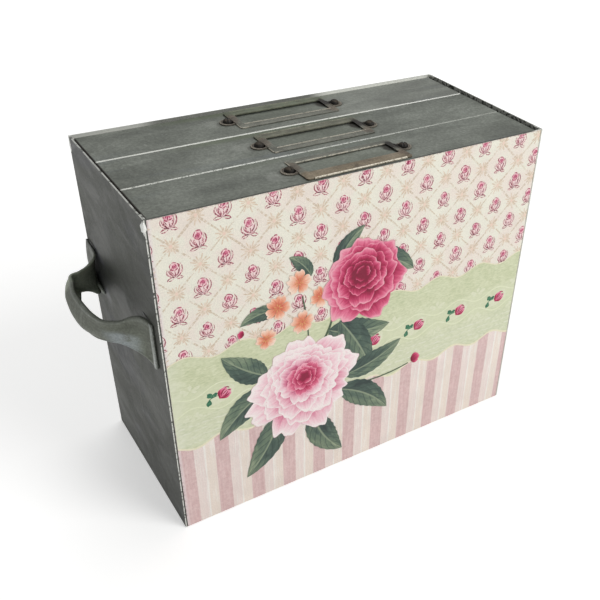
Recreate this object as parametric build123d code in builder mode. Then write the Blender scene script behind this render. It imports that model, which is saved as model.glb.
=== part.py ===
"""Photo storage box: an upright zinc case with a papered front, holding three slim drawers side by side.

Frame: +X to the right, +Y to the back, +Z up. Origin at the middle of the case, on the ground.
All sizes are in millimetres.
"""

import os

from build123d import *

os.makedirs("parts", exist_ok=True)

# case
case_width = 260.0        # outside, without the handles
case_depth = 120.0
case_height = 218.0
sheet = 0.8               # zinc sheet of the case
fold_outside = 0.6        # outside radius of a folded edge of the case
fold_inside = 0.3         # inside radius of the same edge
side_flange = 7.0         # folded edge of the front and back walls, all round except at the top
paper = 0.2               # printed paper glued on the front wall
paper_margin = 0.3        # bare sheet left round the paper
seat_gap = 0.1            # room for solder between the bottom and what it is soldered to

# drawers, standing side by side from front to back
drawer_names = ("front", "middle", "back")
drawer_sheet = 0.7
drawer_gap = 0.35         # between two drawers, and between a drawer and the case
side_room = 1.4           # between a drawer's end and the side wall
floor_gap = 0.3           # under a drawer that is fully in
face_recess = 1.6         # the drawer faces lie this far below the rim of the case
face_skirt = 9.0          # height of the folded edge round a drawer face
face_fold = 0.9           # outside radius of that fold
slip = 0.05               # between the face and the tray that it closes
hem_width = 4.0           # hem along the open side of a tray

# label holder, one on each drawer face
holder_sheet = 0.7
frame_length = 70.0
window_length = 61.0
window_corner = 1.5
frame_corner = 1.2
lip_inner = 7.5           # pull lip: distance of its inner edge from the screw line
lip_width = 7.4
lip_inner_height = 2.6    # top of the lip above the drawer face, at its inner edge
lip_outer_height = 1.6
rail_inner = 7.6          # plain rail on the other side of the window
rail_width = 5.0
rail_inner_height = 1.9
rail_outer_height = 2.1
bead_radius = 0.5         # rolled edge
ear_radius = 5.0

# Each holder was set by hand: which way its lip points (-1 is the front), and how far it is off the middle.
holder_lip = {"front": -1, "middle": 1, "back": 1}
holder_offset = {"front": (-2.0, -1.0), "middle": (-0.8, -1.6), "back": (-1.0, 1.0)}

# screws and nuts of the label holders
screw_radius = 1.5
screw_hole_room = 0.2     # a hole is this much wider than the screw, on the radius
head_radius = 3.0
head_room = 0.2           # between a screw head and the end of the frame
head_height = 2.0
slot_width = 0.8
slot_depth = 0.9
slot_turn = 35.0          # the slots are turned this many degrees, one each way
nut_width = 5.5
nut_height = 2.0
nut_room = 0.02           # between the screw and the nut, on the radius
screw_end = 1.0           # what stands out below the nut

# side handles
handle_height = 137.0     # middle of the handle above the ground
handle_shift = 3.5        # middle of the handle behind the middle of the case
strap = 1.6               # thickness of the handle strip
strap_height = 15.6
foot_height = 29.0
foot_reach = 55.5         # from the middle of the handle to the end of a foot
loop_half_length = 37.5   # from the middle of the handle to the leg of the loop
loop_shoulder = 34.0
shoulder_depth = 22.0     # how far out the shoulders of the loop stand
loop_depth = 28.5         # how far the loop stands out from the wall
foot_bend = 2.0
shoulder_bend = 17.0
middle_bend = 60.0
flare_length = 9.0        # along which the strip widens into its foot
foot_corner = 2.0
flare_pull = 0.3          # how soon the flare turns to the waist, as a share of its length

# solder
bead_leg = 0.8            # along the feet of the handles
bead_length = 14.0
blob_height = 8.0         # at the top corners of the case
blob_width = 2.6
blob_thickness = 0.4
blob_round = 0.3
blob_drop = 0.6           # from the rim to the blob


# places worked out from the sizes above
half_width = case_width / 2
half_depth = case_depth / 2
wall_inner_x = half_width - sheet
front_outer_y = -half_depth + paper
front_inner_y = front_outer_y + sheet
back_inner_y = half_depth - sheet
floor_top = 2 * sheet

drawer_width = case_width - 2 * sheet - 2 * side_room
drawer_depth = (back_inner_y - front_inner_y - 4 * drawer_gap) / 3
drawer_pitch = drawer_depth + drawer_gap
first_drawer_y = front_inner_y + drawer_gap + drawer_depth / 2
drawer_low = floor_top + floor_gap
face_top = case_height - face_recess
past = 1.0                # how far a cut runs past the face that it opens
screw_spacing = frame_length + 2 * (head_radius + head_room)


def save(piece, label):
    piece.part.label = label
    export_step(piece.part, f"parts/{label}.step")


def block(low, high, mode=Mode.ADD):
    """A box between two corners."""
    size = [b - a for a, b in zip(low, high)]
    middle = tuple((a + b) / 2 for a, b in zip(low, high))
    with Locations(middle):
        Box(*size, mode=mode)


# ---------------------------------------------------------------- case

def side_wall(side):
    """Flat sheet that reaches from the front edge to the back edge. side is -1 on the left."""
    with BuildPart() as wall:
        with BuildSketch(Plane.XY):
            with Locations((side * (half_width - sheet / 2), 0)):
                Rectangle(sheet, case_depth)
        extrude(amount=case_height)
    return wall


def end_wall(outer_y, side):
    """Front or back sheet with its side and bottom edges folded inwards. side is -1 at the front."""
    inward = -side
    with BuildPart() as wall:
        with BuildSketch(Plane.XY):
            with Locations((0, outer_y + inward * side_flange / 2)):
                Rectangle(2 * wall_inner_x, side_flange)
        extrude(amount=case_height)
        outer_face = wall.faces().sort_by(Axis.Y)[0 if side < 0 else -1]
        folds = outer_face.edges().group_by(Axis.Z)[:-1]
        fillet([edge for group in folds for edge in group], fold_outside)
        with BuildSketch(Plane.XY.offset(sheet)):
            with Locations((0, outer_y + inward * (sheet + side_flange) / 2)):
                Rectangle(2 * (wall_inner_x - sheet), side_flange - sheet)
        extrude(amount=case_height, mode=Mode.SUBTRACT)
        inner_face = wall.faces().filter_by(Axis.Y).sort_by(Axis.Y)[1 if side < 0 else -2]
        folds = inner_face.edges().group_by(Axis.Z)[:-1]
        fillet([edge for group in folds for edge in group], fold_inside)
    return wall


left_wall = side_wall(-1)
right_wall = side_wall(1)
front_wall = end_wall(front_outer_y, -1)
back_wall = end_wall(half_depth, 1)

# The bottom lies on the folded edges of the front and back walls, and is notched round their side edges.
bottom_low_y = front_inner_y + fold_inside + seat_gap
bottom_high_y = back_inner_y - fold_inside - seat_gap
notch_x = wall_inner_x - sheet - seat_gap
notch_depth = side_flange - sheet
with BuildPart() as case_bottom:
    with BuildSketch(Plane.XY.offset(sheet)):
        with Locations((0, (bottom_low_y + bottom_high_y) / 2)):
            Rectangle(2 * wall_inner_x, bottom_high_y - bottom_low_y)
        for corner_x in (-wall_inner_x, wall_inner_x):
            for corner_y in (bottom_low_y, bottom_high_y):
                with Locations((corner_x, corner_y)):
                    Rectangle(2 * (wall_inner_x - notch_x), 2 * notch_depth, mode=Mode.SUBTRACT)
    extrude(amount=sheet)

with BuildPart() as front_paper:
    with BuildSketch(Plane.XZ.offset(-front_outer_y)):
        with Locations((0, case_height / 2)):
            Rectangle(2 * (wall_inner_x - fold_outside), case_height - 2 * paper_margin)
    extrude(amount=paper)

save(left_wall, "left_wall")
save(right_wall, "right_wall")
save(front_wall, "front_wall")
save(back_wall, "back_wall")
save(case_bottom, "case_bottom")
save(front_paper, "front_paper")

# A smear of solder closes each top corner, on the outside of the side walls.
blob_top = case_height - blob_drop
with BuildPart() as corner_solder:
    for side in (-1, 1):
        for end in (-1, 1):
            with BuildSketch(Plane.YZ.offset(side * half_width)):
                with Locations((end * (half_depth - blob_width / 2), blob_top - blob_height / 2)):
                    Ellipse(blob_width / 2, blob_height / 2)
            extrude(amount=side * blob_thickness)
    fillet(corner_solder.edges().group_by(Axis.X)[0] + corner_solder.edges().group_by(Axis.X)[-1], blob_round)
save(corner_solder, "corner_solder")


# ---------------------------------------------------------------- handles

def side_handle(side):
    """Strip bent to a loop, with its ends widened to feet that lie on the wall. side is -1 on the left."""
    wall_x = side * half_width
    line_x = wall_x + side * strap / 2
    shoulder_x = wall_x + side * shoulder_depth
    middle_x = wall_x + side * (loop_depth - strap / 2)
    half_path = [
        (line_x, -foot_reach),
        (line_x, -loop_half_length + strap / 2),
        (shoulder_x, -loop_shoulder + strap / 2),
    ]
    path = half_path + [(middle_x, 0)] + [(x, -y) for x, y in reversed(half_path)]
    path = [(x, y + handle_shift) for x, y in path]
    bends = [foot_bend, shoulder_bend, middle_bend, shoulder_bend, foot_bend]
    with BuildPart() as handle:
        with BuildLine(Plane.XY.offset(handle_height)):
            FilletPolyline(*path, radius=bends)
        start = (line_x, handle_shift - foot_reach, handle_height)
        with BuildSketch(Plane(origin=start, x_dir=(1, 0, 0), z_dir=(0, 1, 0))):
            Rectangle(strap, foot_height)
        sweep()
        ends = handle.edges().filter_by(Axis.X).group_by(Axis.Y)
        fillet([ends[0][0], ends[0][1], ends[-1][0], ends[-1][1]], foot_corner)
        # The strip seen from the end of the case: full height at the wall, and a waist further out.
        with BuildSketch(Plane.XZ):
            with BuildLine():
                waist = strap_height / 2
                foot = foot_height / 2
                root_x = wall_x + side * strap
                pull_x = root_x + side * flare_length * flare_pull
                waist_x = root_x + side * flare_length
                outer_x = wall_x + side * (loop_depth + strap)
                low, high = handle_height - foot, handle_height + foot
                waist_low, waist_high = handle_height - waist, handle_height + waist
                inside_x = wall_x - side * past
                Line((inside_x, low), (root_x, low))
                Bezier((root_x, low), (pull_x, waist_low), (waist_x, waist_low))
                Line((waist_x, waist_low), (outer_x, waist_low))
                Line((outer_x, waist_low), (outer_x, waist_high))
                Line((outer_x, waist_high), (waist_x, waist_high))
                Bezier((waist_x, waist_high), (pull_x, waist_high), (root_x, high))
                Line((root_x, high), (inside_x, high))
                Line((inside_x, high), (inside_x, low))
            make_face()
        extrude(amount=case_depth, both=True, mode=Mode.INTERSECT)
    return handle


def handle_beads(side):
    """Solder along the top and bottom edges of both feet of a handle."""
    wall_x = side * half_width
    with BuildPart() as beads:
        for end in (-1, 1):
            middle_y = handle_shift + end * (loop_half_length + foot_reach) / 2
            for up in (-1, 1):
                edge_z = handle_height + up * foot_height / 2
                with BuildSketch(Plane.XZ.offset(-middle_y)):
                    with BuildLine():
                        Polyline(
                            (wall_x, edge_z),
                            (wall_x + side * bead_leg, edge_z),
                            (wall_x, edge_z + up * bead_leg),
                            close=True,
                        )
                    make_face()
                extrude(amount=bead_length / 2, both=True)
    return beads


save(side_handle(-1), "left_handle")
save(side_handle(1), "right_handle")
save(handle_beads(-1), "left_handle_solder")
save(handle_beads(1), "right_handle_solder")


# ---------------------------------------------------------------- drawers

def screw_points(holder_x, holder_y):
    """The two screws of a label holder, in plan."""
    return [(holder_x + side * screw_spacing / 2, holder_y) for side in (-1, 1)]


def drawer_face(middle_y, holder_x, holder_y):
    """Cap with a folded edge all round, which closes the upper end of the tray."""
    with BuildPart() as face:
        with BuildSketch(Plane.XY.offset(face_top)):
            with Locations((0, middle_y)):
                Rectangle(drawer_width, drawer_depth)
        extrude(amount=-face_skirt)
        fillet(face.edges().group_by(Axis.Z)[-1] + face.edges().filter_by(Axis.Z), face_fold)
        with BuildSketch(Plane.XY.offset(face_top - drawer_sheet)):
            with Locations((0, middle_y)):
                Rectangle(drawer_width - 2 * drawer_sheet, drawer_depth - 2 * drawer_sheet)
        extrude(amount=-face_skirt, mode=Mode.SUBTRACT)
        with BuildSketch(Plane.XY.offset(face_top)):
            with Locations(*screw_points(holder_x, holder_y)):
                Circle(screw_radius + screw_hole_room)
        extrude(amount=-drawer_sheet, mode=Mode.SUBTRACT)
    return face


def drawer_tray(middle_y):
    """Folded tray, open towards the front and at its top end, with a hem along the open side."""
    half_x = drawer_width / 2 - drawer_sheet - slip
    half_y = drawer_depth / 2 - drawer_sheet - slip
    top = face_top - drawer_sheet - slip
    front_y, back_y = middle_y - half_y, middle_y + half_y
    inner_x = half_x - drawer_sheet
    inner_low = drawer_low + drawer_sheet
    with BuildPart() as tray:
        block((-half_x, front_y, drawer_low), (half_x, back_y, top))
        back_face = tray.faces().sort_by(Axis.Y)[-1]
        folds = back_face.edges().group_by(Axis.Z)[:-1]
        fillet([edge for group in folds for edge in group], face_fold)
        block(
            (-inner_x, front_y - past, inner_low),
            (inner_x, back_y - drawer_sheet, top + past),
            mode=Mode.SUBTRACT,
        )
        hem_back = front_y + hem_width
        hem_top = face_top - face_skirt
        for hem_side in (-1, 1):
            hem_x = sorted((hem_side * (inner_x - drawer_sheet), hem_side * inner_x))
            block((hem_x[0], front_y, inner_low), (hem_x[1], hem_back, hem_top))
        block((-inner_x, front_y, inner_low), (inner_x, hem_back, inner_low + drawer_sheet))
    return tray


def label_holder(middle_x, middle_y, lip_side):
    """Raised frame round a window, with a wide lip to pull on, legs at its ends and an ear beyond each."""

    def at(v, height):
        return (middle_y + lip_side * v, face_top + height)

    lip_outer = lip_inner + lip_width
    rail_outer = rail_inner + rail_width
    outline = [
        (-rail_outer, rail_outer_height),
        (-rail_inner, rail_inner_height),
        (lip_inner, lip_inner_height),
        (lip_outer, lip_outer_height),
    ]
    upper = [at(v, height) for v, height in outline]
    lower = [at(v, height - holder_sheet) for v, height in reversed(outline)]
    leg_x = frame_length / 2
    frame_middle = middle_y + lip_side * (lip_outer - rail_outer) / 2
    window_middle = middle_y + lip_side * (lip_inner - rail_inner) / 2
    with BuildPart() as holder:
        with BuildSketch(Plane.YZ.offset(middle_x)):
            with BuildLine():
                Polyline(*upper, *lower, close=True)
            make_face()
        extrude(amount=leg_x, both=True)
        with BuildSketch(Plane.XY.offset(face_top)):
            with Locations((middle_x, frame_middle)):
                RectangleRounded(frame_length, lip_outer + rail_outer, frame_corner)
        extrude(amount=2 * lip_inner_height, mode=Mode.INTERSECT)
        with BuildSketch(Plane.XY.offset(face_top)):
            with Locations((middle_x, window_middle)):
                RectangleRounded(window_length, lip_inner + rail_inner, window_corner)
        extrude(amount=2 * lip_inner_height, mode=Mode.SUBTRACT)
        for side, screw in zip((-1, 1), screw_points(middle_x, middle_y)):
            leg = sorted((middle_x + side * (leg_x - holder_sheet), middle_x + side * leg_x))
            block(
                (leg[0], middle_y - ear_radius, face_top),
                (leg[1], middle_y + ear_radius, face_top + rail_inner_height),
            )
            with BuildSketch(Plane.XY.offset(face_top)):
                with Locations((middle_x + side * (leg_x + screw_spacing / 2) / 2, middle_y)):
                    Rectangle(screw_spacing / 2 - leg_x, 2 * ear_radius)
                with Locations(screw):
                    Circle(ear_radius)
                    Circle(screw_radius + screw_hole_room, mode=Mode.SUBTRACT)
            extrude(amount=holder_sheet)
        for v, height in ((-rail_inner, rail_inner_height), (lip_outer, lip_outer_height)):
            with BuildSketch(Plane.YZ.offset(middle_x)):
                with Locations(at(v, height - bead_radius)):
                    Circle(bead_radius)
            extrude(amount=window_length / 2, both=True)
    return holder


def holder_screws(middle_x, middle_y):
    """Two round-head screws, each through an ear and the drawer face."""
    seat = face_top + holder_sheet
    crown = seat + head_height
    shank = holder_sheet + drawer_sheet + nut_height + screw_end
    turns = (-slot_turn, slot_turn)
    with BuildPart() as screws:
        for (x, y), turn in zip(screw_points(middle_x, middle_y), turns):
            with BuildSketch(Plane.XZ.offset(-y)):
                with BuildLine():
                    Line((x, seat), (x + head_radius, seat))
                    Bezier((x + head_radius, seat), (x + head_radius, crown), (x, crown))
                    Line((x, crown), (x, seat))
                make_face()
            revolve(axis=Axis((x, y, 0), (0, 0, 1)))
            with BuildSketch(Plane.XY.offset(seat)):
                with Locations((x, y)):
                    Circle(screw_radius)
            extrude(amount=-shank)
            with BuildSketch(Plane.XY.offset(crown)):
                with Locations(Location((x, y), turn)):
                    Rectangle(2 * (head_radius + past), slot_width)
            extrude(amount=-slot_depth, mode=Mode.SUBTRACT)
    return screws


def holder_nuts(middle_x, middle_y):
    """Two square nuts under the drawer face."""
    with BuildPart() as nuts:
        with BuildSketch(Plane.XY.offset(face_top - drawer_sheet)):
            with Locations(*screw_points(middle_x, middle_y)):
                Rectangle(nut_width, nut_width)
                Circle(screw_radius + nut_room, mode=Mode.SUBTRACT)
        extrude(amount=-nut_height)
    return nuts


for number, name in enumerate(drawer_names):
    drawer_y = first_drawer_y + number * drawer_pitch
    holder_x, offset_y = holder_offset[name]
    holder_y = drawer_y + offset_y
    save(drawer_face(drawer_y, holder_x, holder_y), f"{name}_drawer_face")
    save(drawer_tray(drawer_y), f"{name}_drawer_tray")
    save(label_holder(holder_x, holder_y, holder_lip[name]), f"{name}_label_holder")
    save(holder_screws(holder_x, holder_y), f"{name}_holder_screws")
    save(holder_nuts(holder_x, holder_y), f"{name}_holder_nuts")
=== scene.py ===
import math
import random

import bmesh
import bpy
from mathutils import Matrix, Vector


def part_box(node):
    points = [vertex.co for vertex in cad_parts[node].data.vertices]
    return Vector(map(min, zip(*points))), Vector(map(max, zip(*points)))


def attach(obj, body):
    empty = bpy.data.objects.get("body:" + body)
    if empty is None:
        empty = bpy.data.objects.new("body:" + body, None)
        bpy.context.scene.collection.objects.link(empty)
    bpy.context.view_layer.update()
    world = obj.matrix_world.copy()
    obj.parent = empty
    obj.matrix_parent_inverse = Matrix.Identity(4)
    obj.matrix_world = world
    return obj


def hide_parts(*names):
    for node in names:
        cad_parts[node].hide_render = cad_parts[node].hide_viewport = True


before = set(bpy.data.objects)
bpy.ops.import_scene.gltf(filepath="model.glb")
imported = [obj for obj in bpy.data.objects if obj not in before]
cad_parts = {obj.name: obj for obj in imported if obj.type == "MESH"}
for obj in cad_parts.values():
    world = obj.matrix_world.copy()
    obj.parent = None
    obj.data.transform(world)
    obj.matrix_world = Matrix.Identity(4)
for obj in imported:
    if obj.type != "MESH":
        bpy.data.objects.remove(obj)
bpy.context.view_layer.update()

mm = 0.001
drawers = ("front", "middle", "back")
random.seed(7)

caseLow = Vector((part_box("left_wall")[0].x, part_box("left_wall")[0].y, 0.0))
caseHigh = Vector((-caseLow.x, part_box("back_wall")[1].y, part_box("left_wall")[1].z))
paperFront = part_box("front_paper")[0].y


def finishPiece(bm, name, material, body, smooth=True, replaced=()):
    mesh = bpy.data.meshes.new(name)
    bm.to_mesh(mesh)
    bm.free()
    for polygon in mesh.polygons:
        polygon.use_smooth = smooth
    piece = bpy.data.objects.new(name, mesh)
    bpy.context.scene.collection.objects.link(piece)
    mesh.materials.append(material)
    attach(piece, body)
    if replaced:
        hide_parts(*replaced)
    return piece


def bezier(points, t):
    # a Bezier curve with any number of control points, from t = 0 to t = 1
    points = [Vector(p) for p in points]
    while len(points) > 1:
        points = [a.lerp(b, t) for a, b in zip(points, points[1:])]
    return points[0]


def smoothStep(low, high, x):
    t = min(1.0, max(0.0, (x - low) / (high - low)))
    return t * t * (3 - 2 * t)


class Recipe:
    # a material's node tree, with one method for each kind of node used here

    def __init__(self, name):
        self.material = bpy.data.materials.new(name)
        self.material.use_nodes = True
        self.tree = self.material.node_tree
        self.tree.nodes.clear()

    def add(self, kind, inputs=(), **settings):
        node = self.tree.nodes.new("ShaderNode" + kind)
        for key, value in settings.items():
            setattr(node, key, value)
        for key, value in dict(inputs).items():
            if isinstance(value, bpy.types.NodeSocket):
                self.tree.links.new(value, node.inputs[key])
            else:
                node.inputs[key].default_value = value
        return node

    def place(self):
        return self.add("TexCoord").outputs["Object"]

    def surface(self):
        return self.add("TexCoord").outputs["UV"]

    def split(self, vector):
        node = self.add("SeparateXYZ", {"Vector": vector})
        return node.outputs[0], node.outputs[1], node.outputs[2]

    def join(self, x, y, z=0.0):
        return self.add("CombineXYZ", {"X": x, "Y": y, "Z": z}).outputs[0]

    def math(self, operation, a, b=0.0, c=0.0):
        return self.add("Math", {0: a, 1: b, 2: c}, operation=operation).outputs[0]

    def times(self, a, b):
        return self.math("MULTIPLY", a, b)

    def plus(self, a, b):
        return self.math("ADD", a, b)

    def minus(self, a, b):
        return self.math("SUBTRACT", a, b)

    def either(self, a, b):
        return self.math("MAXIMUM", a, b)

    def away(self, x, y):
        # how far x and y are from nought, taken together
        return self.math("SQRT", self.plus(self.times(x, x), self.times(y, y)))

    def size(self, value):
        # a value without its sign
        return self.math("ABSOLUTE", value)

    def stretch(self, vector, scale, location=(0.0, 0.0, 0.0), rotation=(0.0, 0.0, 0.0)):
        inputs = {"Vector": vector, "Location": location, "Rotation": rotation, "Scale": scale}
        return self.add("Mapping", inputs).outputs[0]

    def noise(self, vector, scale, detail=3.0, roughness=0.55, distortion=0.0):
        inputs = {"Vector": vector, "Scale": scale, "Detail": detail, "Roughness": roughness}
        inputs["Distortion"] = distortion
        return self.add("TexNoise", inputs).outputs["Fac"]

    def step(self, value, low, high, fromValue=0.0, toValue=1.0):
        # smooth change from fromValue at low to toValue at high
        inputs = {"Value": value, "From Min": low, "From Max": high, "To Min": fromValue, "To Max": toValue}
        return self.add("MapRange", inputs, interpolation_type="SMOOTHSTEP").outputs[0]

    def band(self, value, start, full, fade, end):
        # 1 from full to fade, 0 before start and after end
        return self.times(self.step(value, start, full), self.step(value, fade, end, 1.0, 0.0))

    def ramp(self, value, stops):
        node = self.add("ValToRGB", {"Fac": value})
        elements = node.color_ramp.elements
        while len(elements) < len(stops):
            elements.new(0.5)
        for element, (position, colour) in zip(elements, stops):
            element.position = position
            element.color = (*colour, 1.0)
        return node.outputs["Color"]

    def mix(self, share, a, b, blend="MIX"):
        colours = [(*c, 1.0) if isinstance(c, tuple) and len(c) == 3 else c for c in (a, b)]
        inputs = {0: share, 6: colours[0], 7: colours[1]}
        return self.add("Mix", inputs, data_type="RGBA", blend_type=blend).outputs[2]

    def shade(self, colour, factor):
        # a colour made darker or lighter
        return self.mix(1.0, colour, self.join(factor, factor, factor), "MULTIPLY")

    def bump(self, height, strength, distance, normal=None):
        inputs = {"Height": height, "Strength": strength, "Distance": distance}
        if normal:
            inputs["Normal"] = normal
        return self.add("Bump", inputs).outputs[0]

    def finish(self, colour, roughness, normal=None, **sockets):
        inputs = {"Base Color": colour, "Roughness": roughness}
        if normal:
            inputs["Normal"] = normal
        inputs.update(sockets)
        shader = self.add("BsdfPrincipled", inputs)
        output = self.add("OutputMaterial", {"Surface": shader.outputs[0]})
        output.location = (400, 0)
        return self.material


def rgb(red, green, blue):
    # a colour as the eye names it, 0 to 255, in the linear values that a shader takes
    return tuple(((c / 255 + 0.055) / 1.055) ** 2.4 if c > 10 else c / 3295 for c in (red, green, blue))


def evenStops(colours, low, high):
    # the colours at even steps from low to high
    step = (high - low) / (len(colours) - 1)
    return [(low + step * k, rgb(*colour)) for k, colour in enumerate(colours)]


def dress(node, material):
    # a CAD node's own mesh gets one material
    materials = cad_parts[node].data.materials
    materials.clear()
    materials.append(material)


cameraSettings = {
    "place": (-0.234618, -0.404780, 0.401311),
    "azimuth": -35.597,       # degrees round the box from the front
    "elevation": 36.162,
    "roll": 3.305,
    "lens": 48.144,
    "sensor": 36.0,
    "shift": (-0.1302, 0.0769),
}


def makeCamera(settings):
    azimuth, elevation = math.radians(settings["azimuth"]), math.radians(settings["elevation"])
    back = Vector((
        math.sin(azimuth) * math.cos(elevation),
        -math.cos(azimuth) * math.cos(elevation),
        math.sin(elevation),
    ))
    right = (-back).cross(Vector((0, 0, 1))).normalized()
    up = right.cross(-back)
    turn = Matrix((right, up, back)).transposed() @ Matrix.Rotation(math.radians(settings["roll"]), 3, "Z")
    data = bpy.data.cameras.new("camera")
    data.sensor_width = settings["sensor"]
    data.lens = settings["lens"]
    data.shift_x, data.shift_y = settings["shift"]
    camera = bpy.data.objects.new("camera", data)
    camera.matrix_world = Matrix.Translation(settings["place"]) @ turn.to_4x4()
    bpy.context.scene.collection.objects.link(camera)
    bpy.context.scene.camera = camera


stageSettings = {
    "floorSize": 6.0,
    "floorColour": (0.86, 0.86, 0.85),
    "floorFades": (0.5, 1.3),        # metres from the middle: the floor goes plain white between these
    "floorGlow": 0.42,               # how white it is near the box, where the shadow falls
    "worldColour": (1.0, 1.0, 1.0),
    "worldLight": 0.36,
}

# place, what it shines at, size, power in watts
lamps = {
    "key": ((0.9, -1.5, 1.5), (0.0, 0.0, 0.1), 1.3, 26.0),
    "top": ((0.4, 0.7, 1.8), (0.0, 0.0, 0.2), 1.4, 9.0),
}


def makeStage(settings):
    bm = bmesh.new()
    bmesh.ops.create_grid(bm, x_segments=1, y_segments=1, size=settings["floorSize"] / 2)
    mesh = bpy.data.meshes.new("floor")
    bm.to_mesh(mesh)
    bm.free()
    floor = bpy.data.objects.new("floor", mesh)
    bpy.context.scene.collection.objects.link(floor)
    recipe = Recipe("floorPaint")
    path = recipe.add("LightPath").outputs
    mirrored = recipe.either(path["Is Glossy Ray"], path["Is Transmission Ray"])
    seen = recipe.either(path["Is Camera Ray"], mirrored)
    paint = recipe.add("BsdfDiffuse", {"Color": (*settings["floorColour"], 1.0)})
    x, y, z = recipe.split(recipe.place())
    strength = recipe.step(recipe.away(x, y), *settings["floorFades"], settings["floorGlow"], 1.0)
    white = recipe.add("Emission", {"Color": (1.0, 1.0, 1.0, 1.0), "Strength": strength})
    both = recipe.add("AddShader", {0: paint.outputs[0], 1: white.outputs[0]})
    shader = recipe.add("MixShader", {0: seen, 1: paint.outputs[0], 2: both.outputs[0]})
    recipe.add("OutputMaterial", {"Surface": shader.outputs[0]})
    mesh.materials.append(recipe.material)

    world = bpy.data.worlds.new("studio")
    bpy.context.scene.world = world
    world.use_nodes = True
    nodes, links = world.node_tree.nodes, world.node_tree.links
    nodes.clear()
    path = nodes.new("ShaderNodeLightPath")
    strength = nodes.new("ShaderNodeMapRange")
    strength.inputs["To Min"].default_value = settings["worldLight"]
    strength.inputs["To Max"].default_value = 1.0
    links.new(path.outputs["Is Camera Ray"], strength.inputs["Value"])
    background = nodes.new("ShaderNodeBackground")
    background.inputs["Color"].default_value = (*settings["worldColour"], 1.0)
    links.new(strength.outputs[0], background.inputs["Strength"])
    output = nodes.new("ShaderNodeOutputWorld")
    links.new(background.outputs[0], output.inputs["Surface"])


def makeLamps():
    for name, (place, target, size, power) in lamps.items():
        data = bpy.data.lights.new(name, "AREA")
        data.shape = "DISK"
        data.size = size
        data.energy = power
        lamp = bpy.data.objects.new(name, data)
        lamp.location = place
        lamp.rotation_euler = (Vector(place) - Vector(target)).to_track_quat("Z", "Y").to_euler()
        bpy.context.scene.collection.objects.link(lamp)


makeCamera(cameraSettings)
makeStage(stageSettings)
makeLamps()
bpy.context.scene.view_settings.view_transform = "Standard"
print("camera, floor and light made")


zincLooks = {
    "dark": (60, 63, 57),
    "middle": (84, 86, 82),
    "light": (104, 107, 102),
    "blue": (89, 91, 97),
    "bare": (232, 233, 226),     # bare metal on a worn edge, also the colour of painted light on the case and the drawer faces
    "dirtAndShade": (46, 41, 36),
    "tarnishAndLitPatch": (98, 107, 84),
    "metallic": 0.45,
    "roughness": (0.46, 0.66),
    # how fine the noises are
    "cloud": 11.0,
    "smear": 46.0,
    "blotch": 30.0,
    "grain": 700.0,
    "scratch": (260.0, 260.0, 9.0),
    # how much the blue blotches and the scratches show
    "blotchShare": 0.5,
    "scratchShare": 0.15,
}


def zinc(name, looks, marks=None, along=(1.0, 1.0, 1.0)):
    # marks gives three masks: bare metal and painted light, dirt and painted shade, and tarnish and a patch
    # of painted light. along draws the smears out.
    recipe = Recipe(name)
    place = recipe.place()
    drawn = recipe.stretch(place, along)
    cloud = recipe.noise(place, looks["cloud"], 6.0, 0.62, 0.5)
    smear = recipe.noise(drawn, looks["smear"], 4.0, 0.65, 1.2)
    grain = recipe.noise(place, looks["grain"], 3.0, 0.7)
    tone = recipe.plus(recipe.times(cloud, 0.55), recipe.times(smear, 0.45))
    tones = zip((0.32, 0.50, 0.66), ("dark", "middle", "light"))
    colour = recipe.ramp(tone, [(position, rgb(*looks[shade])) for position, shade in tones])
    blotch = recipe.step(recipe.noise(drawn, looks["blotch"], 3.0, 0.5, 0.8), 0.54, 0.70)
    colour = recipe.mix(recipe.times(blotch, looks["blotchShare"]), colour, rgb(*looks["blue"]))
    colour = recipe.shade(colour, recipe.step(grain, 0.35, 0.70, 0.80, 1.18))
    scratchPlace = recipe.stretch(place, looks["scratch"], rotation=(0.5, 0.3, 0.2))
    scratch = recipe.step(recipe.noise(scratchPlace, 1.0, 2.0, 0.5), 0.70, 0.80)
    colour = recipe.mix(recipe.times(scratch, looks["scratchShare"]), colour, rgb(*looks["bare"]))
    rough = recipe.step(smear, 0.3, 0.7, *looks["roughness"])
    metallic = looks["metallic"]
    if marks:
        worn, dirtAndShade, tarnishAndLitPatch = marks(recipe, place)
        colour = recipe.mix(tarnishAndLitPatch, colour, rgb(*looks["tarnishAndLitPatch"]))
        colour = recipe.mix(worn, colour, rgb(*looks["bare"]))
        colour = recipe.mix(dirtAndShade, colour, rgb(*looks["dirtAndShade"]))
        rough = recipe.plus(recipe.minus(rough, recipe.times(worn, 0.14)), recipe.times(dirtAndShade, 0.2))
        metallic = recipe.step(worn, 0.0, 0.9, metallic, 0.1)
    height = recipe.plus(recipe.times(grain, 0.3), recipe.plus(smear, recipe.times(scratch, -0.3)))
    normal = recipe.bump(height, 0.22, 0.0008, recipe.bump(cloud, 0.35, 0.004))
    return recipe.finish(colour, rough, normal, Metallic=metallic)


def ragged(recipe, place, mask, scale=260.0, low=0.30, high=0.52):
    # a mask that comes and goes along an edge
    patches = recipe.noise(place, scale, 3.0, 0.6)
    return recipe.times(mask, recipe.step(patches, low, high))


def spot(recipe, place, middle, size, unevenness=0.5):
    # a stain seen from above, with an uneven edge
    x, y, z = recipe.split(place)
    across = recipe.math("DIVIDE", recipe.minus(x, middle[0] * mm), size[0] * mm)
    along = recipe.math("DIVIDE", recipe.minus(y, middle[1] * mm), size[1] * mm)
    wobble = recipe.times(recipe.minus(recipe.noise(place, 420.0, 3.0, 0.6), 0.5), unevenness)
    return recipe.step(recipe.plus(recipe.away(across, along), wobble), 0.6, 1.1, 1.0, 0.0)
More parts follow.
